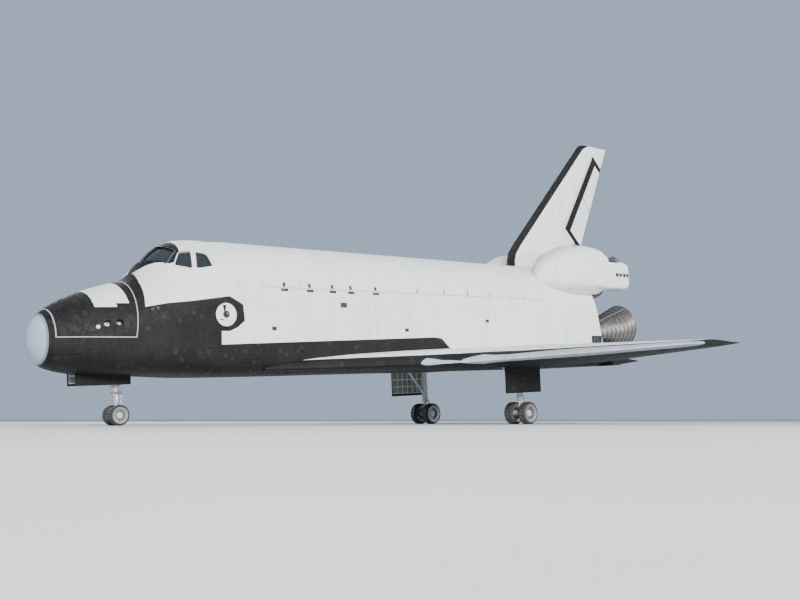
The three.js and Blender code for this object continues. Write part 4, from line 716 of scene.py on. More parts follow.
BODY_OF = {node: body for body, nodes in frame['record']['behaviour']['bodies'].items() for node in nodes}
SMOOTHED = ('nose_cap', 'forward_body', 'nose_thruster_module', 'side_hatch', 'mid_body', 'bay_door_right',
            'bay_door_left', 'tail_body', 'wing_right', 'wing_left', 'wing_leading_edge_right',
            'wing_leading_edge_left', 'elevon_inner_right', 'elevon_inner_left', 'elevon_outer_right',
            'elevon_outer_left', 'fin', 'rudder_panel_right', 'rudder_panel_left', 'tail_pod_right',
            'tail_pod_left', 'pod_engine_right', 'pod_engine_left', 'main_engine_upper', 'main_engine_left',
            'main_engine_right', 'nose_gear_leg', 'nose_gear_steering', 'nose_wheels', 'main_gear_leg_right',
            'main_gear_leg_left', 'main_wheels_right', 'main_wheels_left', 'body_flap', 'rudder_shaft')
SMOOTH_ANGLE = math.radians(32)


def select_only(*pieces):
    bpy.ops.object.select_all(action='DESELECT')
    for piece in pieces:
        piece.select_set(True)
    bpy.context.view_layer.objects.active = pieces[0]


def smoothed_copy(node_name):
    node = frame['nodes'][node_name]
    copy = bpy.data.objects.new('smooth_' + node_name, node.data.copy())
    bpy.context.scene.collection.objects.link(copy)
    select_only(copy)
    bpy.ops.mesh.customdata_custom_splitnormals_clear()
    bpy.ops.object.mode_set(mode='EDIT')
    bpy.ops.mesh.select_all(action='SELECT')
    bpy.ops.mesh.remove_doubles(threshold=0.00008)
    bpy.ops.object.mode_set(mode='OBJECT')
    bpy.ops.object.shade_smooth_by_angle(angle=SMOOTH_ANGLE)
    even = copy.modifiers.new('even shading', 'WEIGHTED_NORMAL')
    even.keep_sharp = True
    even.weight = 80
    bpy.ops.object.modifier_apply(modifier=even.name)
    copy.select_set(False)
    dress(copy, NODE_FINISHES[node_name])
    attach(copy, BODY_OF[node_name])
    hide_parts(node_name)
    return copy


bpy.ops.object.select_all(action='DESELECT')
SKIN = {node_name: smoothed_copy(node_name) for node_name in SMOOTHED}


# Hand tools for the added pieces

def shape(piece):
    """Opens a piece for shaping by its points, with nothing selected."""
    select_only(piece)
    bpy.ops.object.mode_set(mode='EDIT')
    bpy.context.tool_settings.mesh_select_mode = (True, False, False)
    bpy.ops.mesh.select_all(action='DESELECT')


def pick(piece, faces=None, edges=None, points=None):
    """Selects the faces, edges or points that pass a test on their place."""
    bpy.ops.object.mode_set(mode='OBJECT')
    mesh = piece.data
    for parts in (mesh.vertices, mesh.edges, mesh.polygons):
        parts.foreach_set('select', [False] * len(parts))
    if faces:
        for face in mesh.polygons:
            face.select = bool(faces(face.center, face.normal))
    if edges:
        for edge in mesh.edges:
            start, end = (mesh.vertices[number].co for number in edge.vertices)
            edge.select = bool(edges((start + end) / 2, end - start))
    if points:
        for point in mesh.vertices:
            point.select = bool(points(point.co))
    bpy.context.tool_settings.mesh_select_mode = (bool(points), bool(edges), bool(faces))
    bpy.ops.object.mode_set(mode='EDIT')


def pull(*move):
    bpy.ops.mesh.extrude_region_move(TRANSFORM_OT_translate={'value': move})


def finish_modifiers(piece):
    select_only(piece)
    for modifier in list(piece.modifiers):
        bpy.ops.object.modifier_apply(modifier=modifier.name)


def thicken(piece, wall, offset=1.0, even=True):
    modifier = piece.modifiers.new('wall', 'SOLIDIFY')
    modifier.thickness = wall
    modifier.offset = offset
    modifier.use_even_offset = even


def soften(piece, width, segments=2, angle=30):
    modifier = piece.modifiers.new('rounded edges', 'BEVEL')
    modifier.width = width
    modifier.segments = segments
    modifier.limit_method = 'ANGLE'
    modifier.angle_limit = math.radians(angle)


def hug(piece, skin, lift):
    """Lays a flat piece that floats outside a skin straight down onto it, a little proud of it."""
    modifier = piece.modifiers.new('hug', 'SHRINKWRAP')
    modifier.target = skin
    modifier.wrap_method = 'PROJECT'
    modifier.use_project_z = True
    modifier.use_negative_direction = True
    modifier.use_positive_direction = False
    modifier.offset = lift


def settle(piece, name, body, finish, angle=35):
    """Fixes a finished piece in place: object at the origin, smooth shading, finish, body."""
    bpy.ops.object.mode_set(mode='OBJECT')
    finish_modifiers(piece)
    bpy.ops.object.transform_apply(location=True, rotation=True, scale=True)
    bpy.ops.object.mode_set(mode='EDIT')
    bpy.ops.mesh.select_all(action='SELECT')
    bpy.ops.mesh.normals_make_consistent(inside=False)
    bpy.ops.object.mode_set(mode='OBJECT')
    bpy.ops.object.shade_smooth_by_angle(angle=math.radians(angle))
    piece.name = name
    dress(piece, finish)
    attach(piece, body)
    piece.select_set(False)
    return piece


def copy_to(master, name, body, matrix, mirror=False):
    """A copy with its own mesh, placed by a matrix, or reflected to the other side."""
    copy = bpy.data.objects.new(name, master.data.copy())
    bpy.context.scene.collection.objects.link(copy)
    copy.data.transform(matrix)
    if mirror:
        copy.data.flip_normals()
    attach(copy, body)
    return copy


def master_of(piece, slot):
    """Keeps a shape as a pattern to copy from; it is removed when its copies are made."""
    bpy.ops.object.mode_set(mode='OBJECT')
    finish_modifiers(piece)
    bpy.ops.object.transform_apply(location=True, rotation=True, scale=True)
    bpy.ops.object.mode_set(mode='EDIT')
    bpy.ops.mesh.select_all(action='SELECT')
    bpy.ops.mesh.normals_make_consistent(inside=False)
    bpy.ops.object.mode_set(mode='OBJECT')
    bpy.ops.object.shade_smooth_by_angle(angle=math.radians(35))
    piece['made_for'] = slot
    piece.select_set(False)
    return piece


def drop_master(piece):
    bpy.data.objects.remove(piece)


def laid(point, outward, along):
    """The matrix that lays a flat pattern, face up, on a surface at a point."""
    up = outward.normalized()
    ahead = (along - along.dot(up) * up).normalized()
    side = up.cross(ahead)
    turn = Matrix((ahead, side, up)).transposed().to_4x4()
    return Matrix.Translation(point) @ turn


def on_skin(node_name, start, direction):
    """The first point of a part's skin, and its outward look, along a line."""
    met, point, outward, _ = SKIN[node_name].ray_cast(start, direction)
    if not met:
        raise ValueError('no skin of ' + node_name + ' along that line')
    return point, outward


bpy.context.view_layer.update()
AFT = heading(1, 0, 0)
UPWARD = heading(0, 0, 1)
PORT = Vector((0, -1, 0))


# More finishes for the added pieces

NOZZLE_FINISH = painted_finish('pale nozzle ceramic', (0.76, 0.74, 0.68, 1), (0.36, 0.32, 0.27, 1), 0.5)
FRAME_FINISH = painted_finish('white window frame', (0.80, 0.80, 0.78, 1), (0.5, 0.5, 0.48, 1), 0.45)
DARK_FRAME_FINISH = painted_finish('dark window frame', (0.03, 0.03, 0.032, 1), (0.2, 0.2, 0.2, 1), 0.45)
MARK_FINISH = painted_finish('black hinge cover', (0.014, 0.014, 0.015, 1), (0.12, 0.12, 0.12, 1), 0.5)
LINER_FINISH = painted_finish('load space liner', (0.50, 0.52, 0.50, 1), (0.3, 0.3, 0.3, 1), 0.7)
DULL_METAL = metal_finish('dull steel', (0.42, 0.42, 0.42, 1), (0.20, 0.20, 0.20, 1), 0.38)
CHROME_FINISH = metal_finish('ground steel rod', (0.75, 0.75, 0.76, 1), (0.45, 0.45, 0.46, 1), 0.14)


def blanket_finish(name, pale, stitched):
    """Quilted cloth blanket: pillows between stitch lines, scorched a little."""
    material, tree, shader = new_finish(name)
    grid = use(tree, TILE_GRID, Size=3.0, Joint=0.25)
    weather = use(tree, WEATHER, **{'Streak Width': 3.0})
    colour = tint(tree, both(tree, grid['Tone'], 0.3), pale, tuple(0.85 * part for part in pale[:3]) + (1,))
    colour = tint(tree, both(tree, weather['Stains'], 0.5), colour, (0.36, 0.30, 0.24, 1))
    colour = tint(tree, both(tree, grid['Joints'], 0.6), colour, stitched)
    feed(tree, colour, shader.inputs['Base Color'])
    feed(tree, maths(tree, 'ADD', 0.78, both(tree, weather['Grime'], 0.15)), shader.inputs['Roughness'])
    raise_relief(tree, shader, maths(tree, 'SUBTRACT', 0.0, grid['Joints']), 0.006)
    return material


DOME_FINISH = blanket_finish('engine dome blanket', (0.58, 0.56, 0.52, 1), (0.2, 0.18, 0.16, 1))


# Nose thrusters

SIDE_NOZZLES = ((330, 360), (347, 361))
TOP_NOZZLES = ((330, 14), (346, 0), (330, -14))
SMALL_PORT = (317, 354)
NOZZLE_STEPS = ((0, 4.75), (1.6, 4.3), (3.4, 3.7), (5.4, 2.9), (7.2, 2.0))
DISH_STEPS = ((0, 4.88), (0.7, 4.5), (1.3, 3.7), (1.6, 2.6))


def nozzle_cup(steps):
    """An open flared cup with its mouth up, modelled from a ring of edges drawn down and in."""
    bpy.ops.object.select_all(action='DESELECT')
    bpy.ops.mesh.primitive_circle_add(
        vertices=32, radius=(steps[0][1] + 0.35) * INCH, location=(0, 0, 3 * INCH))
    cup = bpy.context.object
    shape(cup)
    bpy.ops.mesh.select_all(action='SELECT')
    depth, width = -3.0, steps[0][1] + 0.35
    for drop, radius in steps:
        pull(0, 0, (depth - drop) * INCH)
        share = radius / width
        bpy.ops.transform.resize(value=(share, share, 1), center_override=(0, 0, -drop * INCH))
        depth, width = drop, radius
    bpy.ops.mesh.edge_face_add()
    bpy.ops.mesh.inset(thickness=0.6 * INCH)
    bpy.ops.object.mode_set(mode='OBJECT')
    bpy.ops.object.transform_apply(location=True, rotation=True, scale=True)
    return cup


def side_thrusters():
    for number, (station, height) in enumerate(SIDE_NOZZLES):
        for side in (-1, 1):
            along = heading(0, side * 50, 9)
            origin = spot(station, side * 60, height - 3)
            # The bore is open here, so the skin beside it gives the mouth's slant.
            points = []
            for reach, rise in ((-6.5, 0), (6.5, 0), (0, -6.5), (0, 6.5)):
                start = spot(station + reach, side * 130, height + rise + 6)
                point, _ = on_skin('nose_thruster_module', start, -along)
                points.append(point)
            slant = (points[1] - points[0]).cross(points[3] - points[2]).normalized()
            if slant.dot(along) < 0:
                slant = -slant
            middle = sum(points, Vector()) / 4
            reach = (middle - origin).dot(slant) / along.dot(slant)
            mouth = origin + along * reach
            cup = nozzle_cup(DISH_STEPS)
            stretch = Matrix.Diagonal((1 / slant.dot(along), 1, 1, 1))
            cup.matrix_world = laid(mouth + slant * 0.8 * INCH, slant, along) @ stretch
            select_only(cup)
            bpy.ops.object.transform_apply(location=True, rotation=True, scale=True)
            shape(cup)
            bpy.ops.mesh.select_all(action='SELECT')
            bpy.ops.mesh.bisect(plane_co=mouth + slant * 0.9 * INCH, plane_no=slant, clear_outer=True)
            bpy.ops.object.mode_set(mode='OBJECT')
            thicken(cup, 0.22 * INCH, 0)
            soften(cup, 0.06 * INCH)
            settle(cup, 'nose_side_nozzle_%s_%d' % ('left' if side < 0 else 'right', number + 1), 'airframe',
                   NOZZLE_FINISH)


def top_thrusters():
    for number, (station, across) in enumerate(TOP_NOZZLES):
        points = []
        for reach, rise in ((-6.5, 0), (6.5, 0), (0, -6.5), (0, 6.5)):
            point, _ = on_skin('nose_thruster_module', spot(station + reach, across + rise, 520), -UPWARD)
            points.append(point)
        slant = (points[1] - points[0]).cross(points[3] - points[2]).normalized()
        middle = sum(points, Vector()) / 4
        origin = spot(station, across, 385)
        mouth = origin + UPWARD * ((middle - origin).dot(slant) / UPWARD.dot(slant))
        cup = nozzle_cup(NOZZLE_STEPS)
        cup.matrix_world = laid(mouth - UPWARD * 1.6 * INCH, UPWARD, AFT)
        select_only(cup)
        bpy.ops.object.transform_apply(location=True, rotation=True, scale=True)
        shape(cup)
        bpy.ops.mesh.select_all(action='SELECT')
        bpy.ops.mesh.bisect(plane_co=mouth + slant * 0.2 * INCH, plane_no=slant, clear_outer=True)
        bpy.ops.object.mode_set(mode='OBJECT')
        thicken(cup, 0.22 * INCH, 0)
        soften(cup, 0.06 * INCH)
        settle(cup, 'nose_top_nozzle_%d' % (number + 1), 'airframe', NOZZLE_FINISH)


def flat_port(radius, finish, slot, rim=0.7, rise=0.004, dish=0.003):
    """A pattern for a small round port: a rounded rim with a dished middle."""
    bpy.ops.object.select_all(action='DESELECT')
    bpy.ops.mesh.primitive_circle_add(vertices=28, radius=radius * INCH, fill_type='NGON')
    port = bpy.context.object
    shape(port)
    bpy.ops.mesh.select_all(action='SELECT')
    pull(0, 0, rise)
    bpy.ops.mesh.inset(thickness=rim * INCH)
    pull(0, 0, -dish)
    bpy.ops.mesh.inset(thickness=rim * 0.8 * INCH)
    bpy.ops.object.mode_set(mode='OBJECT')
    soften(port, 0.0008)
    port.data.materials.append(finish)
    return master_of(port, slot)


side_thrusters()
top_thrusters()
small_port = flat_port(3.0, NOZZLE_FINISH, 'engine_metal', rim=0.8, rise=0.006)
for port_side, port_word in ((-1, 'left'), (1, 'right')):
    place, look = on_skin('nose_thruster_module', spot(SMALL_PORT[0], port_side * 120, SMALL_PORT[1]),
                          Vector((0, -port_side, 0)))
    copy_to(small_port, 'nose_small_port_' + port_word, 'airframe', laid(place, look, AFT))
drop_master(small_port)


# Window frames

PANES = {
    'front': ((420, 4), (439, 54), (459, 45), (449, 4)),
    'middle': ((446, 65), (469, 80), (479, 57), (463, 51)),
    'side': ((475, 82), (503, 86), (501, 68), (486, 60)),
    'overhead': ((522, 6), (522, 28), (548, 28), (548, 6)),
}
PANE_FRAMES = {
    'front': (2.0, 'dark'), 'middle': (2.6, 'white'),
    'side': (2.6, 'white'), 'overhead': (1.9, 'dark'),
}
PANE_LAP = 0.4
CORNER_ROUND = {'front': 4.6, 'middle': 6.6, 'side': 6.6, 'overhead': 3.6}


def grown(corners, distance):
    """The corners of a flat outline moved out square to its sides."""
    moved = []
    for number, corner in enumerate(corners):
        before, after = corners[number - 1], corners[(number + 1) % len(corners)]
        first = (corner - before).normalized()
        second = (after - corner).normalized()
        out = (Vector((first.y, -first.x)) + Vector((second.y, -second.x))).normalized()
        share = out.dot(Vector((first.y, -first.x)))
        moved.append(corner + out * distance / share)
    return moved


def outer_shell(skin, axis_height):
    """A passing copy of a skin: only the faces that look away from its axis, openings covered."""
    shell = bpy.data.objects.new('outer shell', skin.data.copy())
    bpy.context.scene.collection.objects.link(shell)
    pick_only = lambda place, look: look.dot((place - Vector((place.x, 0, axis_height))).normalized()) < 0.35
    shape(shell)
    pick(shell, faces=pick_only)
    bpy.ops.mesh.delete(type='FACE')
    bpy.ops.mesh.select_all(action='SELECT')
    bpy.ops.mesh.fill_holes(sides=0)
    bpy.ops.object.mode_set(mode='OBJECT')
    return shell


def hug_nearest(piece, shell, lift):
    """Lays a flat piece onto the nearest places of a shell, a little proud of it."""
    modifier = piece.modifiers.new('hug', 'SHRINKWRAP')
    modifier.target = shell
    modifier.wrap_method = 'NEAREST_SURFACEPOINT'
    modifier.wrap_mode = 'ABOVE_SURFACE'
    modifier.offset = lift


def window_frame(pane, side, shell):
    corners = PANES[pane]
    width, look = PANE_FRAMES[pane]
    middle_station = sum(corner[0] for corner in corners) / 4
    middle_across = sum(corner[1] for corner in corners) / 4
    spread = 1.18
    points = []
    for station, across in corners:
        start = spot(middle_station + (station - middle_station) * spread,
                     (middle_across + (across - middle_across) * spread) * side, 560)
        points.append(on_skin('forward_body', start, -UPWARD)[0])
    middle = sum(points, Vector()) / 4
    points = [middle + (point - middle) / spread for point in points]
    outward = (points[2] - points[0]).cross(points[3] - points[1]).normalized()
    if outward.dot(middle - spot(middle_station, 0, 400)) < 0:
        outward = -outward
    matrix = laid(middle, outward, points[1] - points[0])
    flat = [(matrix.inverted() @ point).to_2d() for point in points]
    if (flat[1] - flat[0]).cross(flat[2] - flat[1]) < 0:
        flat.reverse()
    outer = grown(flat, (width - PANE_LAP) * INCH)
    bpy.ops.object.select_all(action='DESELECT')
    bpy.ops.mesh.primitive_plane_add(size=2)
    ring = bpy.context.object
    shape(ring)
    for corner, target in zip(((-1, -1), (1, -1), (1, 1), (-1, 1)), outer):
        pick(ring, points=lambda place: (place.to_2d() - Vector(corner)).length < 0.001)
        bpy.ops.transform.translate(value=(target.x * 10 - corner[0], target.y * 10 - corner[1], 0))
    bpy.ops.mesh.select_all(action='SELECT')
    bpy.ops.transform.resize(value=(0.1, 0.1, 1), center_override=(0, 0, 0))
    bpy.ops.mesh.bevel(offset=CORNER_ROUND[pane] * INCH, segments=6, affect='VERTICES')
    pick(ring, faces=lambda place, look_at: True)
    bpy.ops.mesh.inset(thickness=width * INCH, use_boundary=True)
    bpy.ops.mesh.delete(type='FACE')
    bpy.ops.mesh.select_all(action='SELECT')
    bpy.ops.mesh.subdivide(number_cuts=3)
    bpy.ops.object.mode_set(mode='OBJECT')
    ring.matrix_world = Matrix.Translation(outward * 0.01) @ matrix
    hug_nearest(ring, shell, 0.001)
    thicken(ring, 0.012, even=False)
    soften(ring, 0.004)
    settle(ring, 'window_frame_%s_%s' % (pane, 'left' if side < 0 else 'right'), 'airframe',
           FRAME_FINISH if look == 'white' else DARK_FRAME_FINISH)


cabin_shell = outer_shell(SKIN['forward_body'], spot(480, 0, 385).z)
for pane_name in PANES:
    for pane_side in (-1, 1):
        window_frame(pane_name, pane_side, cabin_shell)
bpy.data.objects.remove(cabin_shell)


# Side hatch: its rim, its round window and its handle

HATCH = {'station': 514, 'height': 373, 'radius': 20}


def hatch_details():
    centre, outward = on_skin('side_hatch', spot(HATCH['station'], -160, HATCH['height']), -PORT)
    matrix = laid(centre, PORT, AFT)
    bpy.ops.object.select_all(action='DESELECT')
    bpy.ops.mesh.primitive_circle_add(vertices=56, radius=19.6 * INCH, fill_type='NGON')
    rim = bpy.context.object
    pick(rim, faces=lambda place, look: True)
    bpy.ops.mesh.inset(thickness=1.3 * INCH)
    bpy.ops.mesh.delete(type='FACE')
    bpy.ops.object.mode_set(mode='OBJECT')
    rim.matrix_world = Matrix.Translation(PORT * 0.3) @ matrix
    hug(rim, SKIN['side_hatch'], 0.001)
    thicken(rim, 0.006)
    soften(rim, 0.002)
    settle(rim, 'hatch_rim', 'side_hatch', MARK_FINISH)
    bpy.ops.object.select_all(action='DESELECT')
    bpy.ops.mesh.primitive_circle_add(vertices=40, radius=5.8 * INCH, fill_type='NGON')
    port = bpy.context.object
    pick(port, faces=lambda place, look: True)
    pull(0, 0, 0.012)
    bpy.ops.mesh.inset(thickness=1.0 * INCH)
    pull(0, 0, -0.010)
    bpy.ops.mesh.inset(thickness=0.3 * INCH)
    pull(0, 0, -0.002)
    bpy.ops.object.mode_set(mode='OBJECT')
    port.matrix_world = laid(centre + UPWARD * 0.5 * INCH, outward, AFT)
    soften(port, 0.002)
    settle(port, 'hatch_window_frame', 'side_hatch', MARK_FINISH)
    bpy.ops.object.select_all(action='DESELECT')
    bpy.ops.mesh.primitive_uv_sphere_add(segments=36, ring_count=18, radius=4.55 * INCH)
    glass = bpy.context.object
    shape(glass)
    bpy.ops.mesh.select_all(action='SELECT')
    bpy.ops.transform.resize(value=(1, 1, 0.12))
    bpy.ops.mesh.bisect(plane_co=(0, 0, 0), plane_no=(0, 0, 1), clear_inner=True, use_fill=True)
    bpy.ops.object.mode_set(mode='OBJECT')
    glass.matrix_world = laid(centre + UPWARD * 0.5 * INCH + outward * 0.002, outward, AFT)
    settle(glass, 'hatch_window_glass', 'side_hatch', GLASS_FINISH)
    point, outward = on_skin('side_hatch', spot(HATCH['station'] - 9, -160, HATCH['height'] - 8), -PORT)
    bpy.ops.object.select_all(action='DESELECT')
    bpy.ops.mesh.primitive_cube_add(size=1, scale=(7 * INCH, 1.4 * INCH, 0.6 * INCH))
    handle = bpy.context.object
    pick(handle, faces=lambda place, look: abs(look.x) > 0.9)
    bpy.ops.mesh.inset(thickness=0.01)
    pull(0, 0, -0.012)
    bpy.ops.object.mode_set(mode='OBJECT')
    handle.matrix_world = laid(point + outward * 0.012, outward, AFT)
    soften(handle, 0.003, 3)
    settle(handle, 'hatch_handle', 'side_hatch', MARK_FINISH)


hatch_details()


# Black hinge covers along the sill, and the vents below them

COVER_STATIONS = (628, 681, 730, 771, 829)
TICK_STATIONS = (933, 1004, 1070, 1134)
DOT_STATIONS = (1186, 1238)
VENTS = ((752, 394, 14, 8.5), (900, 352, 9, 6), (1120, 372, 9, 6), (604, 352, 9, 6))


def thin_plate(length, width, skin_name, point, outward, name, body, thickness=0.005, finish=MARK_FINISH):
    """A thin rounded plate that hugs the skin: a plane, its corners beveled, an inner ring inset, laid and
    thickened.
    """
    bpy.ops.object.select_all(action='DESELECT')
    bpy.ops.mesh.primitive_plane_add(size=1)
    plate = bpy.context.object
    shape(plate)
    bpy.ops.mesh.select_all(action='SELECT')
    bpy.ops.transform.resize(value=(length * INCH, width * INCH, 1))
    bpy.ops.mesh.bevel(offset=0.18 * min(length, width) * INCH, segments=3, affect='VERTICES')
    bpy.ops.mesh.inset(thickness=0.12 * min(length, width) * INCH, use_boundary=True)
    bpy.ops.object.mode_set(mode='OBJECT')
    plate.matrix_world = laid(point + outward * 0.1, outward, AFT)
    hug(plate, SKIN[skin_name], 0.0008)
    thicken(plate, thickness)
    soften(plate, 0.0012)
    return settle(plate, name, body, finish)


def sill_marks():
    for side, word in ((-1, 'left'), (1, 'right')):
        look = Vector((0, side, 0))
        door = 'bay_door_' + word
        for number, station in enumerate(COVER_STATIONS):
            point, outward = on_skin('mid_body', spot(station, side * 170, 416.4), -look)
            thin_plate(15, 4.6, 'mid_body', point, outward,
                       'hinge_cover_%s_%d' % (word, number + 1), 'airframe')
            point, outward = on_skin(door, spot(station, side * 170, 425.2), -look)
            thin_plate(5.5, 7.5, door, point, outward, 'hinge_stem_%s_%d' % (word, number + 1), door)
        for number, station in enumerate(TICK_STATIONS):
            point, outward = on_skin(door, spot(station, side * 170, 425.2), -look)
            thin_plate(2.6, 7.6, door, point, outward, 'hinge_tick_%s_%d' % (word, number + 1), door)
        for number, station in enumerate(DOT_STATIONS):
            point, outward = on_skin(door, spot(station, side * 170, 424), -look)
            thin_plate(2.4, 3.0, door, point, outward, 'hinge_dot_%s_%d' % (word, number + 1), door)


def side_vents():
    for side, word in ((-1, 'left'), (1, 'right')):
        look = Vector((0, side, 0))
        for number, (station, height, length, width) in enumerate(VENTS):
            point, outward = on_skin('mid_body', spot(station, side * 170, height), -look)
            bpy.ops.object.select_all(action='DESELECT')
            bpy.ops.mesh.primitive_grid_add(x_subdivisions=1, y_subdivisions=7, size=1)
            vent = bpy.context.object
            shape(vent)
            bpy.ops.mesh.select_all(action='SELECT')
            bpy.ops.transform.resize(value=(length * INCH, width * INCH, 1))
            bpy.ops.mesh.inset(thickness=0.9 * INCH, use_boundary=True)
            bpy.ops.mesh.inset(thickness=0.12 * INCH, use_individual=True)
            pull(0, 0, -0.012)
            bpy.ops.object.mode_set(mode='OBJECT')
            vent.matrix_world = laid(point + outward * 0.013, outward, AFT)
            thicken(vent, 0.004, 0)
            soften(vent, 0.0008)
            settle(vent, 'side_vent_%s_%d' % (word, number + 1), 'airframe', MARK_FINISH)


sill_marks()
side_vents()


# Main engines: stiffening bands, rim tube, feed pipes and the dome blanket round each

ENGINES = {
    'main_engine_upper': (1445, 0, 443, 16, 0),
    'main_engine_left': (1468.2, -53, 342.6, 10, -3.5),
    'main_engine_right': (1468.2, 53, 342.6, 10, 3.5),
    'pod_engine_left': (1518, -88, 492, 15.8, -6.5),
    'pod_engine_right': (1518, 88, 492, 15.8, 6.5),
}
MAIN_ENGINES = tuple(ENGINES)[:3]
BELL_BANDS = (70, 82, 94, 106, 118, 130, 142, 154)
DOME_RADIUS = 49.6
DOME_INNER, DOME_OUTER = 19.5, 66


def engine_frame(engine):
    """The matrix whose z axis runs aft along an engine from its pivot."""
    station, across, height, up, out = ENGINES[engine]
    up, out = math.radians(up), math.radians(out)
    axis = heading(math.cos(up) * math.cos(out), math.sin(out), math.sin(up))
    return laid(spot(station, across, height), axis, UPWARD)


def bell_radius(engine, frame_matrix, behind):
    """How far the outer wall of a bell is from its axis, at a distance behind the pivot."""
    start = frame_matrix @ Vector((2.2, 0, behind * INCH))
    inward = (frame_matrix.to_3x3() @ Vector((-1, 0, 0))).normalized()
    point, _ = on_skin(engine, start, inward)
    return (frame_matrix.inverted() @ point).to_2d().length


def bell_band(engine, frame_matrix, behind, name, width=2.0, height=1.1, body=None):
    near = bell_radius(engine, frame_matrix, behind)
    far = bell_radius(engine, frame_matrix, behind + width)
    bpy.ops.object.select_all(action='DESELECT')
    bpy.ops.mesh.primitive_circle_add(vertices=72, radius=near + 0.003, location=(0, 0, behind * INCH))
    band = bpy.context.object
    shape(band)
    bpy.ops.mesh.select_all(action='SELECT')
    pull(0, 0, width * INCH)
    share = (far + 0.003) / (near + 0.003)
    bpy.ops.transform.resize(value=(share, share, 1), center_override=(0, 0, 0))
    bpy.ops.object.mode_set(mode='OBJECT')
    bpy.ops.object.transform_apply(location=True, rotation=True, scale=True)
    band.matrix_world = frame_matrix
    shape(band)
    bpy.ops.mesh.select_all(action='SELECT')
    bpy.ops.mesh.normals_make_consistent(inside=False)
    bpy.ops.object.mode_set(mode='OBJECT')
    thicken(band, height * INCH)
    soften(band, 0.35 * INCH, 2)
    settle(band, name, body or engine, BELL_FINISH)


def feed_pipe(engine, frame_matrix, turn, name):
    """A pipe down the outside of a bell: a ring drawn from stop to stop along the wall."""
    stops = [56 + 10.5 * number for number in range(11)]
    pivot = Matrix.Rotation(math.radians(turn), 4, 'Z')
    radii = [bell_radius(engine, frame_matrix @ pivot, stop) + 1.9 * INCH for stop in stops]
    bpy.ops.object.select_all(action='DESELECT')
    bpy.ops.mesh.primitive_circle_add(
        vertices=14, radius=0.95 * INCH, location=(radii[0], 0, stops[0] * INCH))
    pipe = bpy.context.object
    shape(pipe)
    bpy.ops.mesh.select_all(action='SELECT')
    for number in range(1, len(stops)):
        pull(radii[number] - radii[number - 1], 0, (stops[number] - stops[number - 1]) * INCH)
    pull(-1.2 * INCH, 0, 0.8 * INCH)
    bpy.ops.mesh.select_all(action='SELECT')
    bpy.ops.mesh.region_to_loop()
    bpy.ops.mesh.edge_face_add()
    bpy.ops.object.mode_set(mode='OBJECT')
    bpy.ops.object.transform_apply(location=True, rotation=True, scale=True)
    pipe.matrix_world = frame_matrix @ pivot
    settle(pipe, name, engine, DULL_METAL)


def rim_tube(engine, frame_matrix, name):
    radius = bell_radius(engine, frame_matrix, 165.5) + 0.4 * INCH
    bpy.ops.object.select_all(action='DESELECT')
    bpy.ops.mesh.primitive_circle_add(vertices=12, radius=1.25 * INCH, location=(radius, 0, 165.6 * INCH),
                                      rotation=(math.radians(90), 0, 0))
    tube = bpy.context.object
    shape(tube)
    bpy.ops.mesh.select_all(action='SELECT')
    bpy.ops.mesh.spin(steps=72, angle=math.radians(360), center=(0, 0, 0), axis=(0, 0, 1))
    bpy.ops.mesh.select_all(action='SELECT')
    bpy.ops.mesh.remove_doubles(threshold=0.0005)
    bpy.ops.object.mode_set(mode='OBJECT')
    bpy.ops.object.transform_apply(location=True, rotation=True, scale=True)
    tube.matrix_world = frame_matrix
    settle(tube, name, engine, BELL_FINISH)


def dome_blanket(name, body, frame_matrix, radius, inner, outer, rows=32, columns=48):
    """A quilted zone of a ball round the pivot, so that it turns in its opening without touching."""
    bpy.ops.object.select_all(action='DESELECT')
    bpy.ops.mesh.primitive_uv_sphere_add(segments=columns, ring_count=rows * 2, radius=radius * INCH)
    dome = bpy.context.object
    low, high = math.cos(math.radians(outer)) * radius * INCH, math.cos(math.radians(inner)) * radius * INCH
    shape(dome)
    bpy.ops.mesh.select_all(action='SELECT')
    bpy.ops.mesh.bisect(plane_co=(0, 0, low), plane_no=(0, 0, 1), clear_inner=True)
    bpy.ops.mesh.select_all(action='SELECT')
    bpy.ops.mesh.bisect(plane_co=(0, 0, high), plane_no=(0, 0, 1), clear_outer=True)
    bpy.ops.mesh.select_all(action='SELECT')
    bpy.ops.mesh.inset(thickness=0.22 * INCH, use_individual=True)
    bpy.ops.transform.shrink_fatten(value=0.15 * INCH)
    bpy.ops.object.mode_set(mode='OBJECT')
    dome.matrix_world = frame_matrix
    thicken(dome, 0.05 * INCH, -1)
    settle(dome, name, body, DOME_FINISH, 60)


for engine_name in MAIN_ENGINES:
    engine_place = engine_frame(engine_name)
    for band_number, band_behind in enumerate(BELL_BANDS):
        bell_band(engine_name, engine_place, band_behind, '%s_band_%d' % (engine_name, band_number + 1))
    for pipe_turn in (35, 155, 275):
        feed_pipe(engine_name, engine_place, pipe_turn, '%s_pipe_%d' % (engine_name, pipe_turn))
    rim_tube(engine_name, engine_place, engine_name + '_rim_tube')
    dome_blanket(engine_name + '_dome_blanket', engine_name, engine_place,
                 DOME_RADIUS, DOME_INNER, DOME_OUTER)


# Pod thrusters

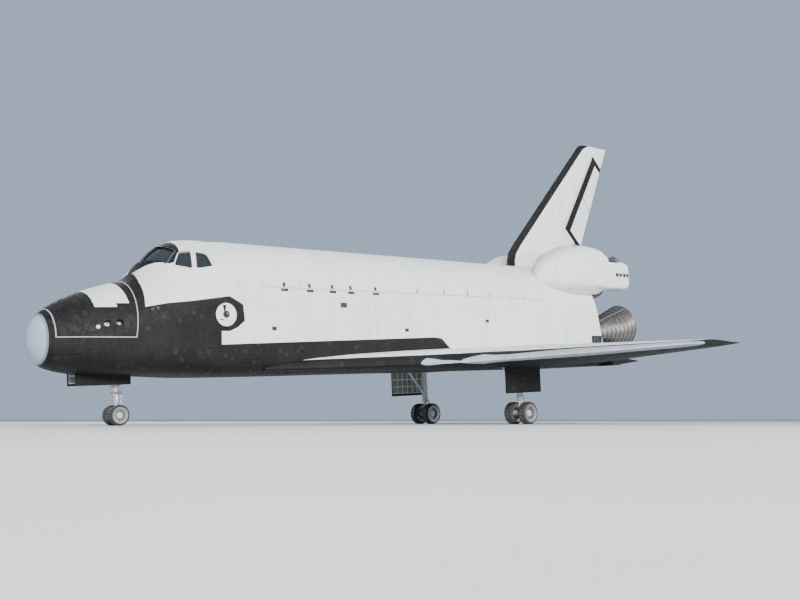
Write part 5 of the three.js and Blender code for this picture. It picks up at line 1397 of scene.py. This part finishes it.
def pod_ports():
    port = flat_port(4.6, MARK_FINISH, 'black_tile')
    vernier = flat_port(2.6, MARK_FINISH, 'black_tile')
    for side, word in ((-1, 'left'), (1, 'right')):
        look = Vector((0, side, 0))
        for number, station in enumerate((1528, 1541.5, 1555, 1568.5)):
            point, outward = on_skin('tail_pod_' + word, spot(station, side * 200, 480), -look)
            copy_to(port, 'pod_side_port_%s_%d' % (word, number + 1), 'airframe',
                    laid(point - outward * 0.001, outward, AFT))
        for number, station in enumerate((1532, 1547, 1562)):
            for way, height, kind in ((-UPWARD, 620, 'top'), (UPWARD, 380, 'under')):
                point, outward = on_skin('tail_pod_' + word, spot(station, side * 117, height), way)
                copy_to(port, 'pod_%s_port_%s_%d' % (kind, word, number + 1), 'airframe',
                        laid(point - outward * 0.001, outward, AFT))
        for number, (across, height) in enumerate(((112, 487), (112, 474))):
            point, outward = on_skin('tail_pod_' + word, spot(1640, side * across, height), -AFT)
            copy_to(port, 'pod_aft_port_%s_%d' % (word, number + 1), 'airframe',
                    laid(point - outward * 0.001, outward, UPWARD))
        point, outward = on_skin('tail_pod_' + word, spot(1640, side * 124, 480), -AFT)
        copy_to(vernier, 'pod_small_port_' + word, 'airframe', laid(point - outward * 0.001, outward, UPWARD))
    drop_master(port)
    drop_master(vernier)


pod_ports()


# Wheels: ribbed tyres on dished rims

GEAR_WHEELS = {
    'nose_wheels': (0.4052, 0.223, 0.279),
    'main_wheels_left': (0.5642, 0.406, 0.457),
    'main_wheels_right': (0.5642, 0.406, 0.457),
}


def wheel_centre(node_name):
    low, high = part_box(node_name)
    return (low + high) / 2


def tyre(node_name, centre, name):
    radius, width, _ = GEAR_WHEELS[node_name]
    half = width / 2
    bpy.ops.object.select_all(action='DESELECT')
    bpy.ops.mesh.primitive_cylinder_add(vertices=80, radius=radius, depth=width, end_fill_type='NGON',
                                        location=centre, rotation=(math.radians(90), 0, 0))
    ring = bpy.context.object
    bpy.ops.object.transform_apply(location=False, rotation=True, scale=True)
    pick(ring, faces=lambda place, look: abs(look.y) > 0.9)
    bpy.ops.mesh.inset(thickness=0.2 * radius)
    bpy.ops.mesh.inset(thickness=0.26 * radius)
    bpy.ops.object.mode_set(mode='OBJECT')
    for way in (-1, 1):
        pick(ring, faces=lambda place, look: look.y * way > 0.9 and place.xz.length < 0.3 * radius)
        bpy.ops.transform.translate(value=(0, -way * 0.12 * half, 0))
        bpy.ops.mesh.inset(thickness=0.05 * radius)
        bpy.ops.transform.translate(value=(0, -way * 0.3 * half, 0))
        bpy.ops.mesh.delete(type='FACE')
    pick(ring, edges=lambda place, along: abs(abs(place.y) - half) < 0.001 and abs(along.y) < 0.001
         and place.xz.length > radius * 0.99)
    bpy.ops.mesh.bevel(offset=0.17 * radius, segments=8, profile=0.55)
    groove = 0.035 * width
    for place_across in (-0.24, -0.08, 0.08, 0.24):
        for edge in (-groove / 2, groove / 2):
            bpy.ops.mesh.select_all(action='SELECT')
            bpy.ops.mesh.bisect(plane_co=Vector(centre) + Vector((0, place_across * width + edge, 0)),
                                plane_no=(0, 1, 0))
    pick(ring, faces=lambda place, look: place.xz.length > radius * 0.98 and any(
        abs(place.y - share * width) < groove * 0.3 for share in (-0.24, -0.08, 0.08, 0.24)))
    bpy.ops.mesh.extrude_region_shrink_fatten(TRANSFORM_OT_shrink_fatten={'value': -0.022 * radius})
    bpy.ops.object.mode_set(mode='OBJECT')
    soften(ring, 0.002, 1, 50)
    return settle(ring, name, node_name, RUBBER_FINISH, 40)


def rim(node_name, centre, way, name):
    """A wheel rim dished on its outer side, with a ring of windows and a hub cap."""
    radius, width, _ = GEAR_WHEELS[node_name]
    half = width / 2
    bpy.ops.object.select_all(action='DESELECT')
    bpy.ops.mesh.primitive_cylinder_add(
        vertices=60, radius=0.52 * radius, depth=1.16 * half, end_fill_type='NGON',
        location=centre, rotation=(math.radians(90), 0, 0))
    disc = bpy.context.object
    bpy.ops.object.transform_apply(location=False, rotation=True, scale=True)
    for look_way in (way, -way):
        outer = look_way == way
        pick(disc, faces=lambda place, look: look.y * look_way > 0.9)
        bpy.ops.mesh.inset(thickness=0.05 * radius)
        pull(0, -look_way * (0.24 if outer else 0.34) * half, 0)
        bpy.ops.mesh.inset(thickness=0.03 * radius)
        bpy.ops.mesh.inset(thickness=0.17 * radius)
        pull(0, look_way * 0.10 * half, 0)
        bpy.ops.mesh.inset(thickness=0.03 * radius)
        pull(0, look_way * 0.10 * half, 0)
        bpy.ops.mesh.inset(thickness=0.07 * radius)
        pull(0, -look_way * 0.05 * half, 0)
    # Every third facet of the web is cut into a window.
    def in_web(place, look):
        reach = place.xz.length
        turn = math.degrees(math.atan2(place.z, place.x)) % 36
        return abs(look.y) > 0.9 and 0.28 * radius < reach < 0.43 * radius and turn < 17
    pick(disc, faces=in_web)
    bpy.ops.mesh.inset(thickness=0.012 * radius)
    for look_way in (-1, 1):
        pick(disc, faces=lambda place, look: in_web(place, look) and look.y * look_way > 0.9
             and 0.3 * radius < place.xz.length < 0.42 * radius)
        pull(0, -look_way * 0.12 * half, 0)
    bpy.ops.object.mode_set(mode='OBJECT')
    soften(disc, 0.0025, 2, 40)
    return settle(disc, name, node_name, GEAR_FINISH, 30)


def wheels():
    for node_name, (_, _, across) in GEAR_WHEELS.items():
        centre = wheel_centre(node_name)
        for way, word in ((-1, 'port'), (1, 'starboard')):
            place = centre + Vector((0, way * across, 0))
            tyre(node_name, place, '%s_tyre_%s' % (node_name, word))
            rim(node_name, place, way, '%s_rim_%s' % (node_name, word))
        dress(SKIN[node_name], DULL_METAL)


wheels()


# Shapes used for the load space, the cabin, the gear and the small fittings

def across_of(direction):
    return UPWARD if abs(direction.normalized().dot(AFT)) > 0.8 else AFT


def bar(name, body, start, end, radius, finish, collars=(), sides=20):
    """A round bar drawn out of a disc, with raised collars: each is where, how wide and how proud."""
    length = (end - start).length
    bpy.ops.object.select_all(action='DESELECT')
    bpy.ops.mesh.primitive_circle_add(vertices=sides, radius=radius, fill_type='NGON')
    piece = bpy.context.object
    shape(piece)
    bpy.ops.mesh.select_all(action='SELECT')
    done = 0
    for at, width, proud in collars:
        share = 1 + proud / radius
        pull(0, 0, at * length - done)
        pull(0, 0, 0)
        bpy.ops.transform.resize(value=(share, share, 1), center_override=(0, 0, 0))
        pull(0, 0, width)
        pull(0, 0, 0)
        bpy.ops.transform.resize(value=(1 / share, 1 / share, 1), center_override=(0, 0, 0))
        done = at * length + width
    pull(0, 0, length - done)
    bpy.ops.object.mode_set(mode='OBJECT')
    piece.matrix_world = laid(start, end - start, across_of(end - start))
    soften(piece, 0.06 * radius)
    return settle(piece, name, body, finish)


def line(name, body, stops, radius, finish=None):
    """A pipe or hose through several stops, drawn from one to the next."""
    bpy.ops.object.select_all(action='DESELECT')
    bpy.ops.mesh.primitive_circle_add(vertices=10, radius=radius, fill_type='NGON')
    pipe = bpy.context.object
    place = laid(stops[0], stops[-1] - stops[0], across_of(stops[-1] - stops[0]))
    local = [place.inverted() @ stop for stop in stops]
    shape(pipe)
    bpy.ops.mesh.select_all(action='SELECT')
    for before, after in zip(local, local[1:]):
        pull(*(after - before))
    bpy.ops.object.mode_set(mode='OBJECT')
    pipe.matrix_world = place
    return settle(pipe, name, body, finish or DULL_METAL, 50)


def turned_disc(name, body, place, radius, steps, finish, sides=40):
    """A round piece built up in steps: each goes in by an inset and then up or down."""
    bpy.ops.object.select_all(action='DESELECT')
    bpy.ops.mesh.primitive_circle_add(vertices=sides, radius=radius, fill_type='NGON')
    disc = bpy.context.object
    shape(disc)
    bpy.ops.mesh.select_all(action='SELECT')
    for inward, rise in steps:
        if inward:
            bpy.ops.mesh.inset(thickness=inward)
        if rise:
            pull(0, 0, rise)
    bpy.ops.object.mode_set(mode='OBJECT')
    disc.matrix_world = place
    soften(disc, 0.0015)
    return settle(disc, name, body, finish)


def waffle(name, body, place, size, cells, rise, rib, finish, sink=0.8):
    """A slab with a grid of sunk cells, as a stiffened panel or a rack of boxes."""
    bpy.ops.object.select_all(action='DESELECT')
    bpy.ops.mesh.primitive_grid_add(x_subdivisions=cells[0], y_subdivisions=cells[1], size=1)
    slab = bpy.context.object
    shape(slab)
    bpy.ops.mesh.select_all(action='SELECT')
    bpy.ops.transform.resize(value=(size[0], size[1], 1), center_override=(0, 0, 0))
    pull(0, 0, rise)
    bpy.ops.mesh.inset(thickness=rib, use_individual=True)
    pull(0, 0, -rise * sink)
    bpy.ops.object.mode_set(mode='OBJECT')
    slab.matrix_world = place
    soften(slab, 0.08 * rise, 1)
    return settle(slab, name, body, finish)


def block(name, body, place, size, finish, lip=0.0, sink=0.0, taper=1.0):
    """A rounded block whose top is drawn in and sunk."""
    bpy.ops.object.select_all(action='DESELECT')
    bpy.ops.mesh.primitive_cube_add(size=1, scale=size)
    piece = bpy.context.object
    pick(piece, faces=lambda place_at, look: look.z > 0.9)
    bpy.ops.transform.resize(value=(taper, taper, 1))
    if lip:
        bpy.ops.mesh.inset(thickness=lip)
        pull(0, 0, -sink)
    bpy.ops.object.mode_set(mode='OBJECT')
    piece.matrix_world = place
    soften(piece, 0.05 * min(size), 2)
    return settle(piece, name, body, finish)


# Load space: frames, sill rails, radiators and the fittings of its end walls

BAY_AXIS_HEIGHT, BAY_RADIUS, SILL_HEIGHT = 400, 92, 420
BAY_FRAMES = (636, 693, 750, 807, 863, 919, 979, 1040, 1090, 1140, 1191, 1249)
RADIATOR_STATIONS = (674, 854, 1035, 1215)


def bay_frames():
    """T-shaped frames spun from sill to sill under the load space."""
    bpy.ops.object.select_all(action='DESELECT')
    bpy.ops.mesh.primitive_plane_add(size=1)
    rib = bpy.context.object
    shape(rib)
    bpy.ops.mesh.select_all(action='SELECT')
    bpy.ops.transform.resize(value=(0.7 * INCH, 3.2 * INCH, 1), center_override=(0, 0, 0))
    bpy.ops.transform.translate(value=(0, -(BAY_RADIUS - 1.5) * INCH, 0))
    flange = -(BAY_RADIUS - 2.5) * INCH
    bpy.ops.mesh.bisect(plane_co=(0, flange, 0), plane_no=(0, 1, 0))
    for way in (-1, 1):
        pick(rib, edges=lambda place, along: (
            place.x * way > 0.3 * INCH and place.y > flange and abs(along.x) < 1e-4))
        pull(way * 1.1 * INCH, 0, 0)
    bpy.ops.mesh.select_all(action='SELECT')
    bpy.ops.mesh.spin(steps=44, angle=math.radians(-203), center=(0, 0, 0), axis=(1, 0, 0))
    bpy.ops.object.mode_set(mode='OBJECT')
    pattern = master_of(rib, 'cabin_grey')
    pattern.data.materials.append(LINER_FINISH)
    lift = Matrix.Rotation(math.radians(-11.5), 4, 'X')
    for number, station in enumerate(BAY_FRAMES):
        place = laid(spot(station, 0, BAY_AXIS_HEIGHT), UPWARD, AFT) @ lift
        copy_to(pattern, 'bay_frame_%d' % (number + 1), 'airframe', place)
    drop_master(pattern)


def sill_rails():
    for side, word in ((-1, 'left'), (1, 'right')):
        place = laid(spot(945, side * 95.0, SILL_HEIGHT + 1.1), UPWARD, AFT)
        block('sill_rail_' + word, 'airframe', place, (708 * INCH, 4.6 * INCH, 2.4 * INCH), DULL_METAL,
              0.9 * INCH, 1.1 * INCH)
        for number, station in enumerate(BAY_FRAMES[1:-1]):
            fitting = laid(spot(station, side * 95.0, SILL_HEIGHT + 2.2), UPWARD, AFT)
            block('sill_fitting_%s_%d' % (word, number + 1), 'airframe', fitting,
                  (8 * INCH, 4.2 * INCH, 2.8 * INCH), GEAR_FINISH, 0.8 * INCH, 0.5 * INCH, 0.9)
        for number, height in enumerate((352, 366, 380)):
            wall = (BAY_RADIUS ** 2 - (BAY_AXIS_HEIGHT - height) ** 2) ** 0.5
            across = side * wall - side * 4.2
            bar('bay_pipe_%s_%d' % (word, number + 1), 'airframe',
                spot(590, across, height), spot(1300, across, height),
                (0.9 - 0.15 * number) * INCH, DULL_METAL,
                [(0.08 * step_at, 2 * INCH, 0.35 * INCH) for step_at in range(1, 12)], 12)


def radiators():
    """Curved panels laid against the inner side of each door."""
    for side, word in ((-1, 'left'), (1, 'right')):
        door = 'bay_door_' + word
        for number, station in enumerate(RADIATOR_STATIONS):
            out = heading(0, side * math.cos(math.radians(44)), math.sin(math.radians(44)))
            start = spot(station, side * 8, 420)
            bpy.ops.object.select_all(action='DESELECT')
            bpy.ops.mesh.primitive_grid_add(x_subdivisions=6, y_subdivisions=14, size=1)
            panel = bpy.context.object
            shape(panel)
            bpy.ops.mesh.select_all(action='SELECT')
            bpy.ops.transform.resize(value=(172 * INCH, 104 * INCH, 1), center_override=(0, 0, 0))
            bpy.ops.mesh.inset(thickness=1.4 * INCH, use_boundary=True)
            bpy.ops.object.mode_set(mode='OBJECT')
            panel.matrix_world = laid(start + out * 0.6, out, AFT)
            lay = panel.modifiers.new('lay', 'SHRINKWRAP')
            lay.target = SKIN[door]
            lay.wrap_method = 'PROJECT'
            lay.wrap_mode = 'ABOVE_SURFACE'
            lay.use_project_z = True
            lay.offset = 0.003
            finish_modifiers(panel)
            shape(panel)
            bpy.ops.mesh.select_all(action='SELECT')
            bpy.ops.mesh.inset(thickness=0.25 * INCH, use_individual=True)
            bpy.ops.object.mode_set(mode='OBJECT')
            thicken(panel, 0.022, -1)
            settle(panel, 'radiator_%s_%d' % (word, number + 1), door, RADIATOR_FINISH)


def bay_ends():
    point, look = on_skin('forward_body', spot(640, 0, 378), -AFT)
    turned_disc('airlock_ring', 'airframe', laid(point, look, UPWARD), 25 * INCH,
                ((0, 2.4 * INCH), (2.2 * INCH, -1.4 * INCH), (2.4 * INCH, 0), (0.6 * INCH, 1.1 * INCH),
                 (4 * INCH, 0.8 * INCH), (6 * INCH, -0.9 * INCH), (4.5 * INCH, 0.6 * INCH)),
                GEAR_FINISH, 56)
    for side, word in ((-1, 'left'), (1, 'right')):
        point, look = on_skin('forward_body', spot(640, side * 58, 372), -AFT)
        waffle('bay_front_boxes_' + word, 'airframe', laid(point, look, UPWARD),
               (38 * INCH, 34 * INCH), (3, 3),
               4.5 * INCH, 1.3 * INCH, LINER_FINISH, 0.45)
        point, look = on_skin('tail_body', spot(1250, side * 46, 368), AFT)
        waffle('bay_rear_boxes_' + word, 'airframe', laid(point, look, UPWARD),
               (30 * INCH, 44 * INCH), (3, 4),
               5 * INCH, 1.4 * INCH, LINER_FINISH, 0.4)
        point, look = on_skin('tail_body', spot(1250, side * 46, 424), AFT)
        turned_disc('bay_rear_port_' + word, 'airframe', laid(point, look, UPWARD), 15 * INCH,
                    ((0, 1.6 * INCH), (2 * INCH, -1.0 * INCH), (1 * INCH, 0), (5 * INCH, 1.2 * INCH)),
                    GEAR_FINISH)
    for side, word in ((-1, 'left'), (1, 'right')):
        point, look = on_skin('forward_body', spot(640, side * 62, 448), -AFT)
        turned_disc('bay_lamp_' + word, 'airframe', laid(point, look, UPWARD), 4.4 * INCH,
                    ((0, 3.2 * INCH), (0.5 * INCH, -0.6 * INCH), (0.4 * INCH, 0)),
                    DULL_METAL, 24)


RADIATOR_FINISH = metal_finish('radiator silver', (0.74, 0.76, 0.78, 1), (0.58, 0.60, 0.62, 1),
                               0.3, 0.55, 60.0)
bay_frames()
sill_rails()
radiators()
bay_ends()


# Cabin: blank screens, consoles, sticks and seat pads

SCREEN_FINISH = painted_finish('blank screen', (0.012, 0.015, 0.018, 1), (0.05, 0.05, 0.05, 1), 0.12)
PAD_FINISH = blanket_finish('seat pad cloth', (0.10, 0.13, 0.20, 1), (0.05, 0.06, 0.09, 1))


def seat_pad(name, body, place, size, bulge):
    """A crowned pad: a block cut fine, its faces raised toward the middle and its sides pulled in."""
    bpy.ops.object.select_all(action='DESELECT')
    bpy.ops.mesh.primitive_cube_add(size=1, scale=size)
    pad = bpy.context.object
    shape(pad)
    bpy.ops.mesh.select_all(action='SELECT')
    bpy.ops.mesh.subdivide(number_cuts=5)
    half = [part / 2 for part in size]
    for share in (0.85, 0.55, 0.25):
        pick(pad, points=lambda place_at: abs(place_at.z - half[2]) < 0.001 and
             abs(place_at.x) < half[0] * share and abs(place_at.y) < half[1] * share)
        bpy.ops.transform.translate(value=(0, 0, bulge / 3))
    for way in (0, 1):
        pick(pad, points=lambda place_at: abs(abs(place_at[way]) - half[way]) < 0.001 and
             abs(place_at[1 - way]) < half[1 - way] * 0.5)
        shrink = [1, 1, 1]
        shrink[way] = 0.95
        bpy.ops.transform.resize(value=shrink, center_override=(0, 0, 0))
    bpy.ops.object.mode_set(mode='OBJECT')
    soften(pad, 0.2 * size[2], 3, 50)
    pad.matrix_world = place
    settle(pad, name, body, PAD_FINISH, 60)


def cabin():
    slope = heading(-6, 0, -26)
    look = heading(26, 0, -6).normalized()
    for number, across in enumerate((-38, -24, -10, 4.5, 19, 33)):
        face = laid(spot(441.7, across, 430) + look * 0.006, look, slope)
        block('dashboard_screen_%d' % (number + 1), 'airframe', face, (9 * INCH, 8.5 * INCH, 0.9 * INCH),
              SCREEN_FINISH, 0.8 * INCH, 0.3 * INCH)
        for row, down in ((1, 8.2), (2, 10.2)):
            for column in (-2.6, 0, 2.6):
                knob = spot(441.7 - down * 0.225, across + column, 430 - down * 0.974)
                turned_disc('dashboard_knob_%d_%d_%d' % (number + 1, row, column * 5), 'airframe',
                            laid(knob, look, slope), 0.62 * INCH,
                            ((0, 0.5 * INCH), (0.12 * INCH, 0.35 * INCH)),
                            GEAR_FINISH, 12)
    block('centre_console', 'airframe', laid(spot(463, 0, 420.6), UPWARD, AFT),
          (34 * INCH, 13 * INCH, 13 * INCH), PANEL_FINISH, 1.2 * INCH, 0.5 * INCH, 0.92)
    block('rear_console', 'airframe', laid(spot(565, 0, 428.2), UPWARD, AFT),
          (12 * INCH, 60 * INCH, 28 * INCH), PANEL_FINISH, 1.2 * INCH, 0.4 * INCH, 0.9)
    for side, word in ((-1, 'left'), (1, 'right')):
        block('side_console_' + word, 'airframe', laid(spot(468, side * 60, 421.6), UPWARD, AFT),
              (52 * INCH, 14 * INCH, 15 * INCH), PANEL_FINISH, 1.2 * INCH, 0.4 * INCH, 0.92)
        across = side * 25
        bar('control_stick_' + word, 'airframe', spot(459, across, 414.2), spot(461, across, 428), 0.6 * INCH,
            PANEL_FINISH, ((0.03, 1 * INCH, 0.9 * INCH), (0.68, 3.4 * INCH, 0.35 * INCH)), 14)
        seat_pad('seat_cushion_' + word, 'airframe', laid(spot(474.5, across, 431.2), UPWARD, AFT),
                 (16.5 * INCH, 19 * INCH, 2.2 * INCH), 1.2 * INCH)
        seat_pad('back_cushion_' + word, 'airframe', laid(spot(482.0, across, 446), -AFT, UPWARD),
                 (25 * INCH, 18.5 * INCH, 2.0 * INCH), 1.0 * INCH)
        seat_pad('head_cushion_' + word, 'airframe', laid(spot(482.3, across, 464), -AFT, UPWARD),
                 (6.5 * INCH, 9.6 * INCH, 1.6 * INCH), 0.6 * INCH)


cabin()


# Landing gear: ground rods, torque links, brake pipes and ribbed doors

DOOR_BOXES = {
    'nose_gear_door_left': 1, 'nose_gear_door_right': -1,
    'main_gear_door_left': 1, 'main_gear_door_right': -1,
}


def torque_link(name, body, start, end, wide, narrow, thick):
    """A link plate narrowed at one end, with a window through it and a boss at each end."""
    length = (end - start).length
    bpy.ops.object.select_all(action='DESELECT')
    bpy.ops.mesh.primitive_cube_add(size=1, scale=(length, wide, thick))
    plate = bpy.context.object
    pick(plate, faces=lambda place, look: look.x > 0.9)
    bpy.ops.transform.resize(value=(1, narrow / wide, 1), center_override=(0, 0, 0))
    pick(plate, faces=lambda place, look: abs(look.z) > 0.9)
    bpy.ops.mesh.inset(thickness=0.2 * narrow)
    bpy.ops.mesh.delete(type='FACE')
    bpy.context.tool_settings.mesh_select_mode = (False, True, False)
    bpy.ops.mesh.select_non_manifold()
    bpy.ops.mesh.bridge_edge_loops()
    bpy.ops.object.mode_set(mode='OBJECT')
    middle = (start + end) / 2
    direction = end - start
    plate.matrix_world = laid(middle, direction.cross(PORT), direction)
    soften(plate, 0.1 * thick)
    settle(plate, name, body, GEAR_FINISH)
    for end_name, place, across in (('root', start, wide), ('tip', end, narrow)):
        bar('%s_%s' % (name, end_name), body, place + PORT * across * 0.55, place - PORT * across * 0.55,
            thick * 0.85, DULL_METAL, ((0.06, 0.01, 0.006), (0.86, 0.01, 0.006)), 18)


def rest_up(centre, along, up, across=0.0):
    """A place given in metres from an axle: aft, up and across."""
    return centre + Vector((along, across, up))


def gear_details():
    nose = wheel_centre('nose_wheels')
    bar('nose_chrome_rod', 'nose_steering', rest_up(nose, 0, 0.13), rest_up(nose, 0, 0.735), 0.0636,
        CHROME_FINISH, (), 36)
    block('steering_arm', 'nose_steering',
          laid(rest_up(nose, 0.15, 0.752), Vector((0, 0, 1)), Vector((1, 0, 0))),
          (0.20, 0.13, 0.036), GEAR_FINISH, 0.02, 0.008)
    for number, up in enumerate((0.79, 0.95, 1.15, 1.32)):
        bar('nose_leg_band_%d' % (number + 1), 'airframe',
            rest_up(nose, 0, up), rest_up(nose, 0, up + 0.03), 0.116,
            DULL_METAL, (), 32)
    for side, word in ((-1, 'left'), (1, 'right')):
        bar('steering_jack_' + word, 'airframe', rest_up(nose, -0.16, 0.88, side * 0.13),
            rest_up(nose, 0.16, 0.88, side * 0.13), 0.034, DULL_METAL,
            ((0.05, 0.03, 0.008), (0.5, 0.02, 0.01), (0.9, 0.02, 0.008)))
        line('nose_pipe_' + word, 'airframe',
             [rest_up(nose, 0.06, up, side * across) for up, across in
              ((1.55, 0.13), (1.35, 0.125), (1.1, 0.124), (0.95, 0.128), (0.84, 0.125), (0.80, 0.12))], 0.009)
    for side, word in ((-1, 'left'), (1, 'right')):
        axle = wheel_centre('main_wheels_' + word)
        bar('main_chrome_rod_' + word, 'airframe', rest_up(axle, 0, 0.15), rest_up(axle, 0, 0.695), 0.1022,
            CHROME_FINISH, (), 40)
        for number, up in enumerate((0.702, 0.86, 1.08, 1.4)):
            bar('main_leg_band_%s_%d' % (word, number + 1), 'airframe', rest_up(axle, 0, up),
                rest_up(axle, 0, up + 0.045), 0.162, DULL_METAL, (), 36)
        knee = rest_up(axle, 0.40, 0.45)
        torque_link('upper_link_' + word, 'airframe', rest_up(axle, 0.155, 0.745), knee, 0.17, 0.09, 0.045)
        torque_link('lower_link_' + word, 'airframe', rest_up(axle, 0.12, 0.15), knee, 0.17, 0.085, 0.045)
        for way in (-1, 1):
            line('brake_pipe_%s_%d' % (word, way), 'airframe',
                 [rest_up(axle, along, up, way * across) for along, up, across in
                  ((-0.10, 1.65, 0.13), (-0.115, 1.3, 0.128), (-0.118, 1.0, 0.13), (-0.115, 0.74, 0.13),
                   (-0.13, 0.55, 0.15), (-0.125, 0.36, 0.15), (-0.10, 0.20, 0.13),
                   (-0.05, 0.13, 0.13))], 0.011)
    for node_name, way in DOOR_BOXES.items():
        low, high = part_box(node_name)
        middle = (low + high) / 2
        face = Vector((middle.x, high.y if way > 0 else low.y, middle.z))
        long = high.x - low.x
        tall = 0.60 if node_name.startswith('nose') else 1.16
        waffle(node_name + '_ribs', BODY_OF[node_name], laid(face, Vector((0, way, 0)), AFT),
               (long - 0.14, tall, 1), (6, 2) if tall < 1 else (7, 3), 0.014, 0.028,
               GEAR_FINISH)


gear_details()


# Small fittings on the outside

def outside_fittings():
    for side, word in ((-1, 'left'), (1, 'right')):
        look_in = Vector((0, -side, 0))
        for number, (station, height) in enumerate(((397, 381), (405, 382.5))):
            point, look = on_skin('forward_body', spot(station, side * 130, height), look_in)
            turned_disc('tracker_port_%s_%d' % (word, number + 1), 'airframe',
                        laid(point, look, AFT), 2.6 * INCH,
                        ((0, 0.005), (0.5 * INCH, -0.003), (0.3 * INCH, 0.001)),
                        MARK_FINISH, 28)
        point, look = on_skin('tail_body', spot(1481, side * 160, 322), look_in)
        thin_plate(27, 38, 'tail_body', point, look, 'service_panel_' + word, 'airframe')
        for number, across in enumerate((150, 200, 250, 300, 350, 400)):
            point, look = on_skin('wing_' + word, spot(1352, side * across, 420), -UPWARD)
            thin_plate(15, 46, 'wing_' + word, point, look,
                       'hinge_seal_%s_%d' % (word, number + 1), 'airframe', 0.004, SEAL_FINISH)
        frame_of_bell = engine_frame('pod_engine_' + word)
        body = BODY_OF['pod_engine_' + word]
        for number, behind in enumerate((22, 32, 42, 52)):
            bell_band('pod_engine_' + word, frame_of_bell, behind,
                      'pod_engine_%s_band_%d' % (word, number + 1), 1.2, 0.6, body)


SEAL_FINISH = painted_finish('wing seal panel', (0.74, 0.74, 0.73, 1), (0.5, 0.5, 0.5, 1), 0.55)
outside_fittings()


# Floor, light and camera

FLOOR_SIZE = 1600
CAMERA_PLACE = (-32.5, -35.9, 0.25)
CAMERA_AIM = Vector((0.5, 0.0, 6.2))
LENS_LENGTH = 44.0
SENSOR_WIDTH = 36.0
SIGHT_LIMIT = 2000


def pale_floor():
    bpy.ops.object.select_all(action='DESELECT')
    bpy.ops.mesh.primitive_plane_add(size=FLOOR_SIZE, location=(0, 0, 0))
    floor = bpy.context.object
    floor.name = 'studio_floor'
    material, tree, shader = new_finish('pale floor', Roughness=0.85)
    source = put(tree, 'ShaderNodeTexCoord').outputs['Object']
    cloud = put(tree, 'ShaderNodeTexNoise', {'Vector': source, 'Scale': 0.4, 'Detail': 3.0}).outputs['Fac']
    feed(tree, tint(tree, cloud, (0.60, 0.61, 0.62, 1), (0.66, 0.67, 0.68, 1)), shader.inputs['Base Color'])
    dress(floor, material)


def soft_light(name, place, aim, size, power, colour=(1, 1, 1)):
    lamp = bpy.data.lights.new(name, 'AREA')
    lamp.shape = 'RECTANGLE'
    lamp.size, lamp.size_y = size
    lamp.energy = power
    lamp.color = colour
    light = bpy.data.objects.new(name, lamp)
    bpy.context.scene.collection.objects.link(light)
    light.location = place
    light.rotation_euler = (Vector(aim) - Vector(place)).to_track_quat('-Z', 'Y').to_euler()
    return light


def studio():
    pale_floor()
    world = bpy.data.worlds.new('soft sky')
    bpy.context.scene.world = world
    world.use_nodes = True
    world.node_tree.nodes.clear()
    sky = put(world.node_tree, 'ShaderNodeBackground', {'Color': (0.50, 0.62, 0.80, 1), 'Strength': 0.8})
    out = put(world.node_tree, 'ShaderNodeOutputWorld')
    world.node_tree.links.new(sky.outputs[0], out.inputs[0])
    soft_light('key_light', (-52, -104, 52), (2, 0, 7), (40, 40), 270000, (1.0, 0.97, 0.92))
    soft_light('fill_light', (30, -50, 18), (2, 0, 5), (30, 20), 14000, (0.9, 0.95, 1.0))
    soft_light('far_light', (10, 50, 34), (0, 0, 6), (30, 30), 20000)


def camera():
    lens = bpy.data.cameras.new('view')
    lens.lens = LENS_LENGTH
    lens.sensor_width = SENSOR_WIDTH
    lens.clip_end = SIGHT_LIMIT
    eye = bpy.data.objects.new('view', lens)
    bpy.context.scene.collection.objects.link(eye)
    eye.location = CAMERA_PLACE
    eye.rotation_euler = (CAMERA_AIM - eye.location).to_track_quat('-Z', 'Y').to_euler()
    bpy.context.scene.camera = eye


studio()
camera()
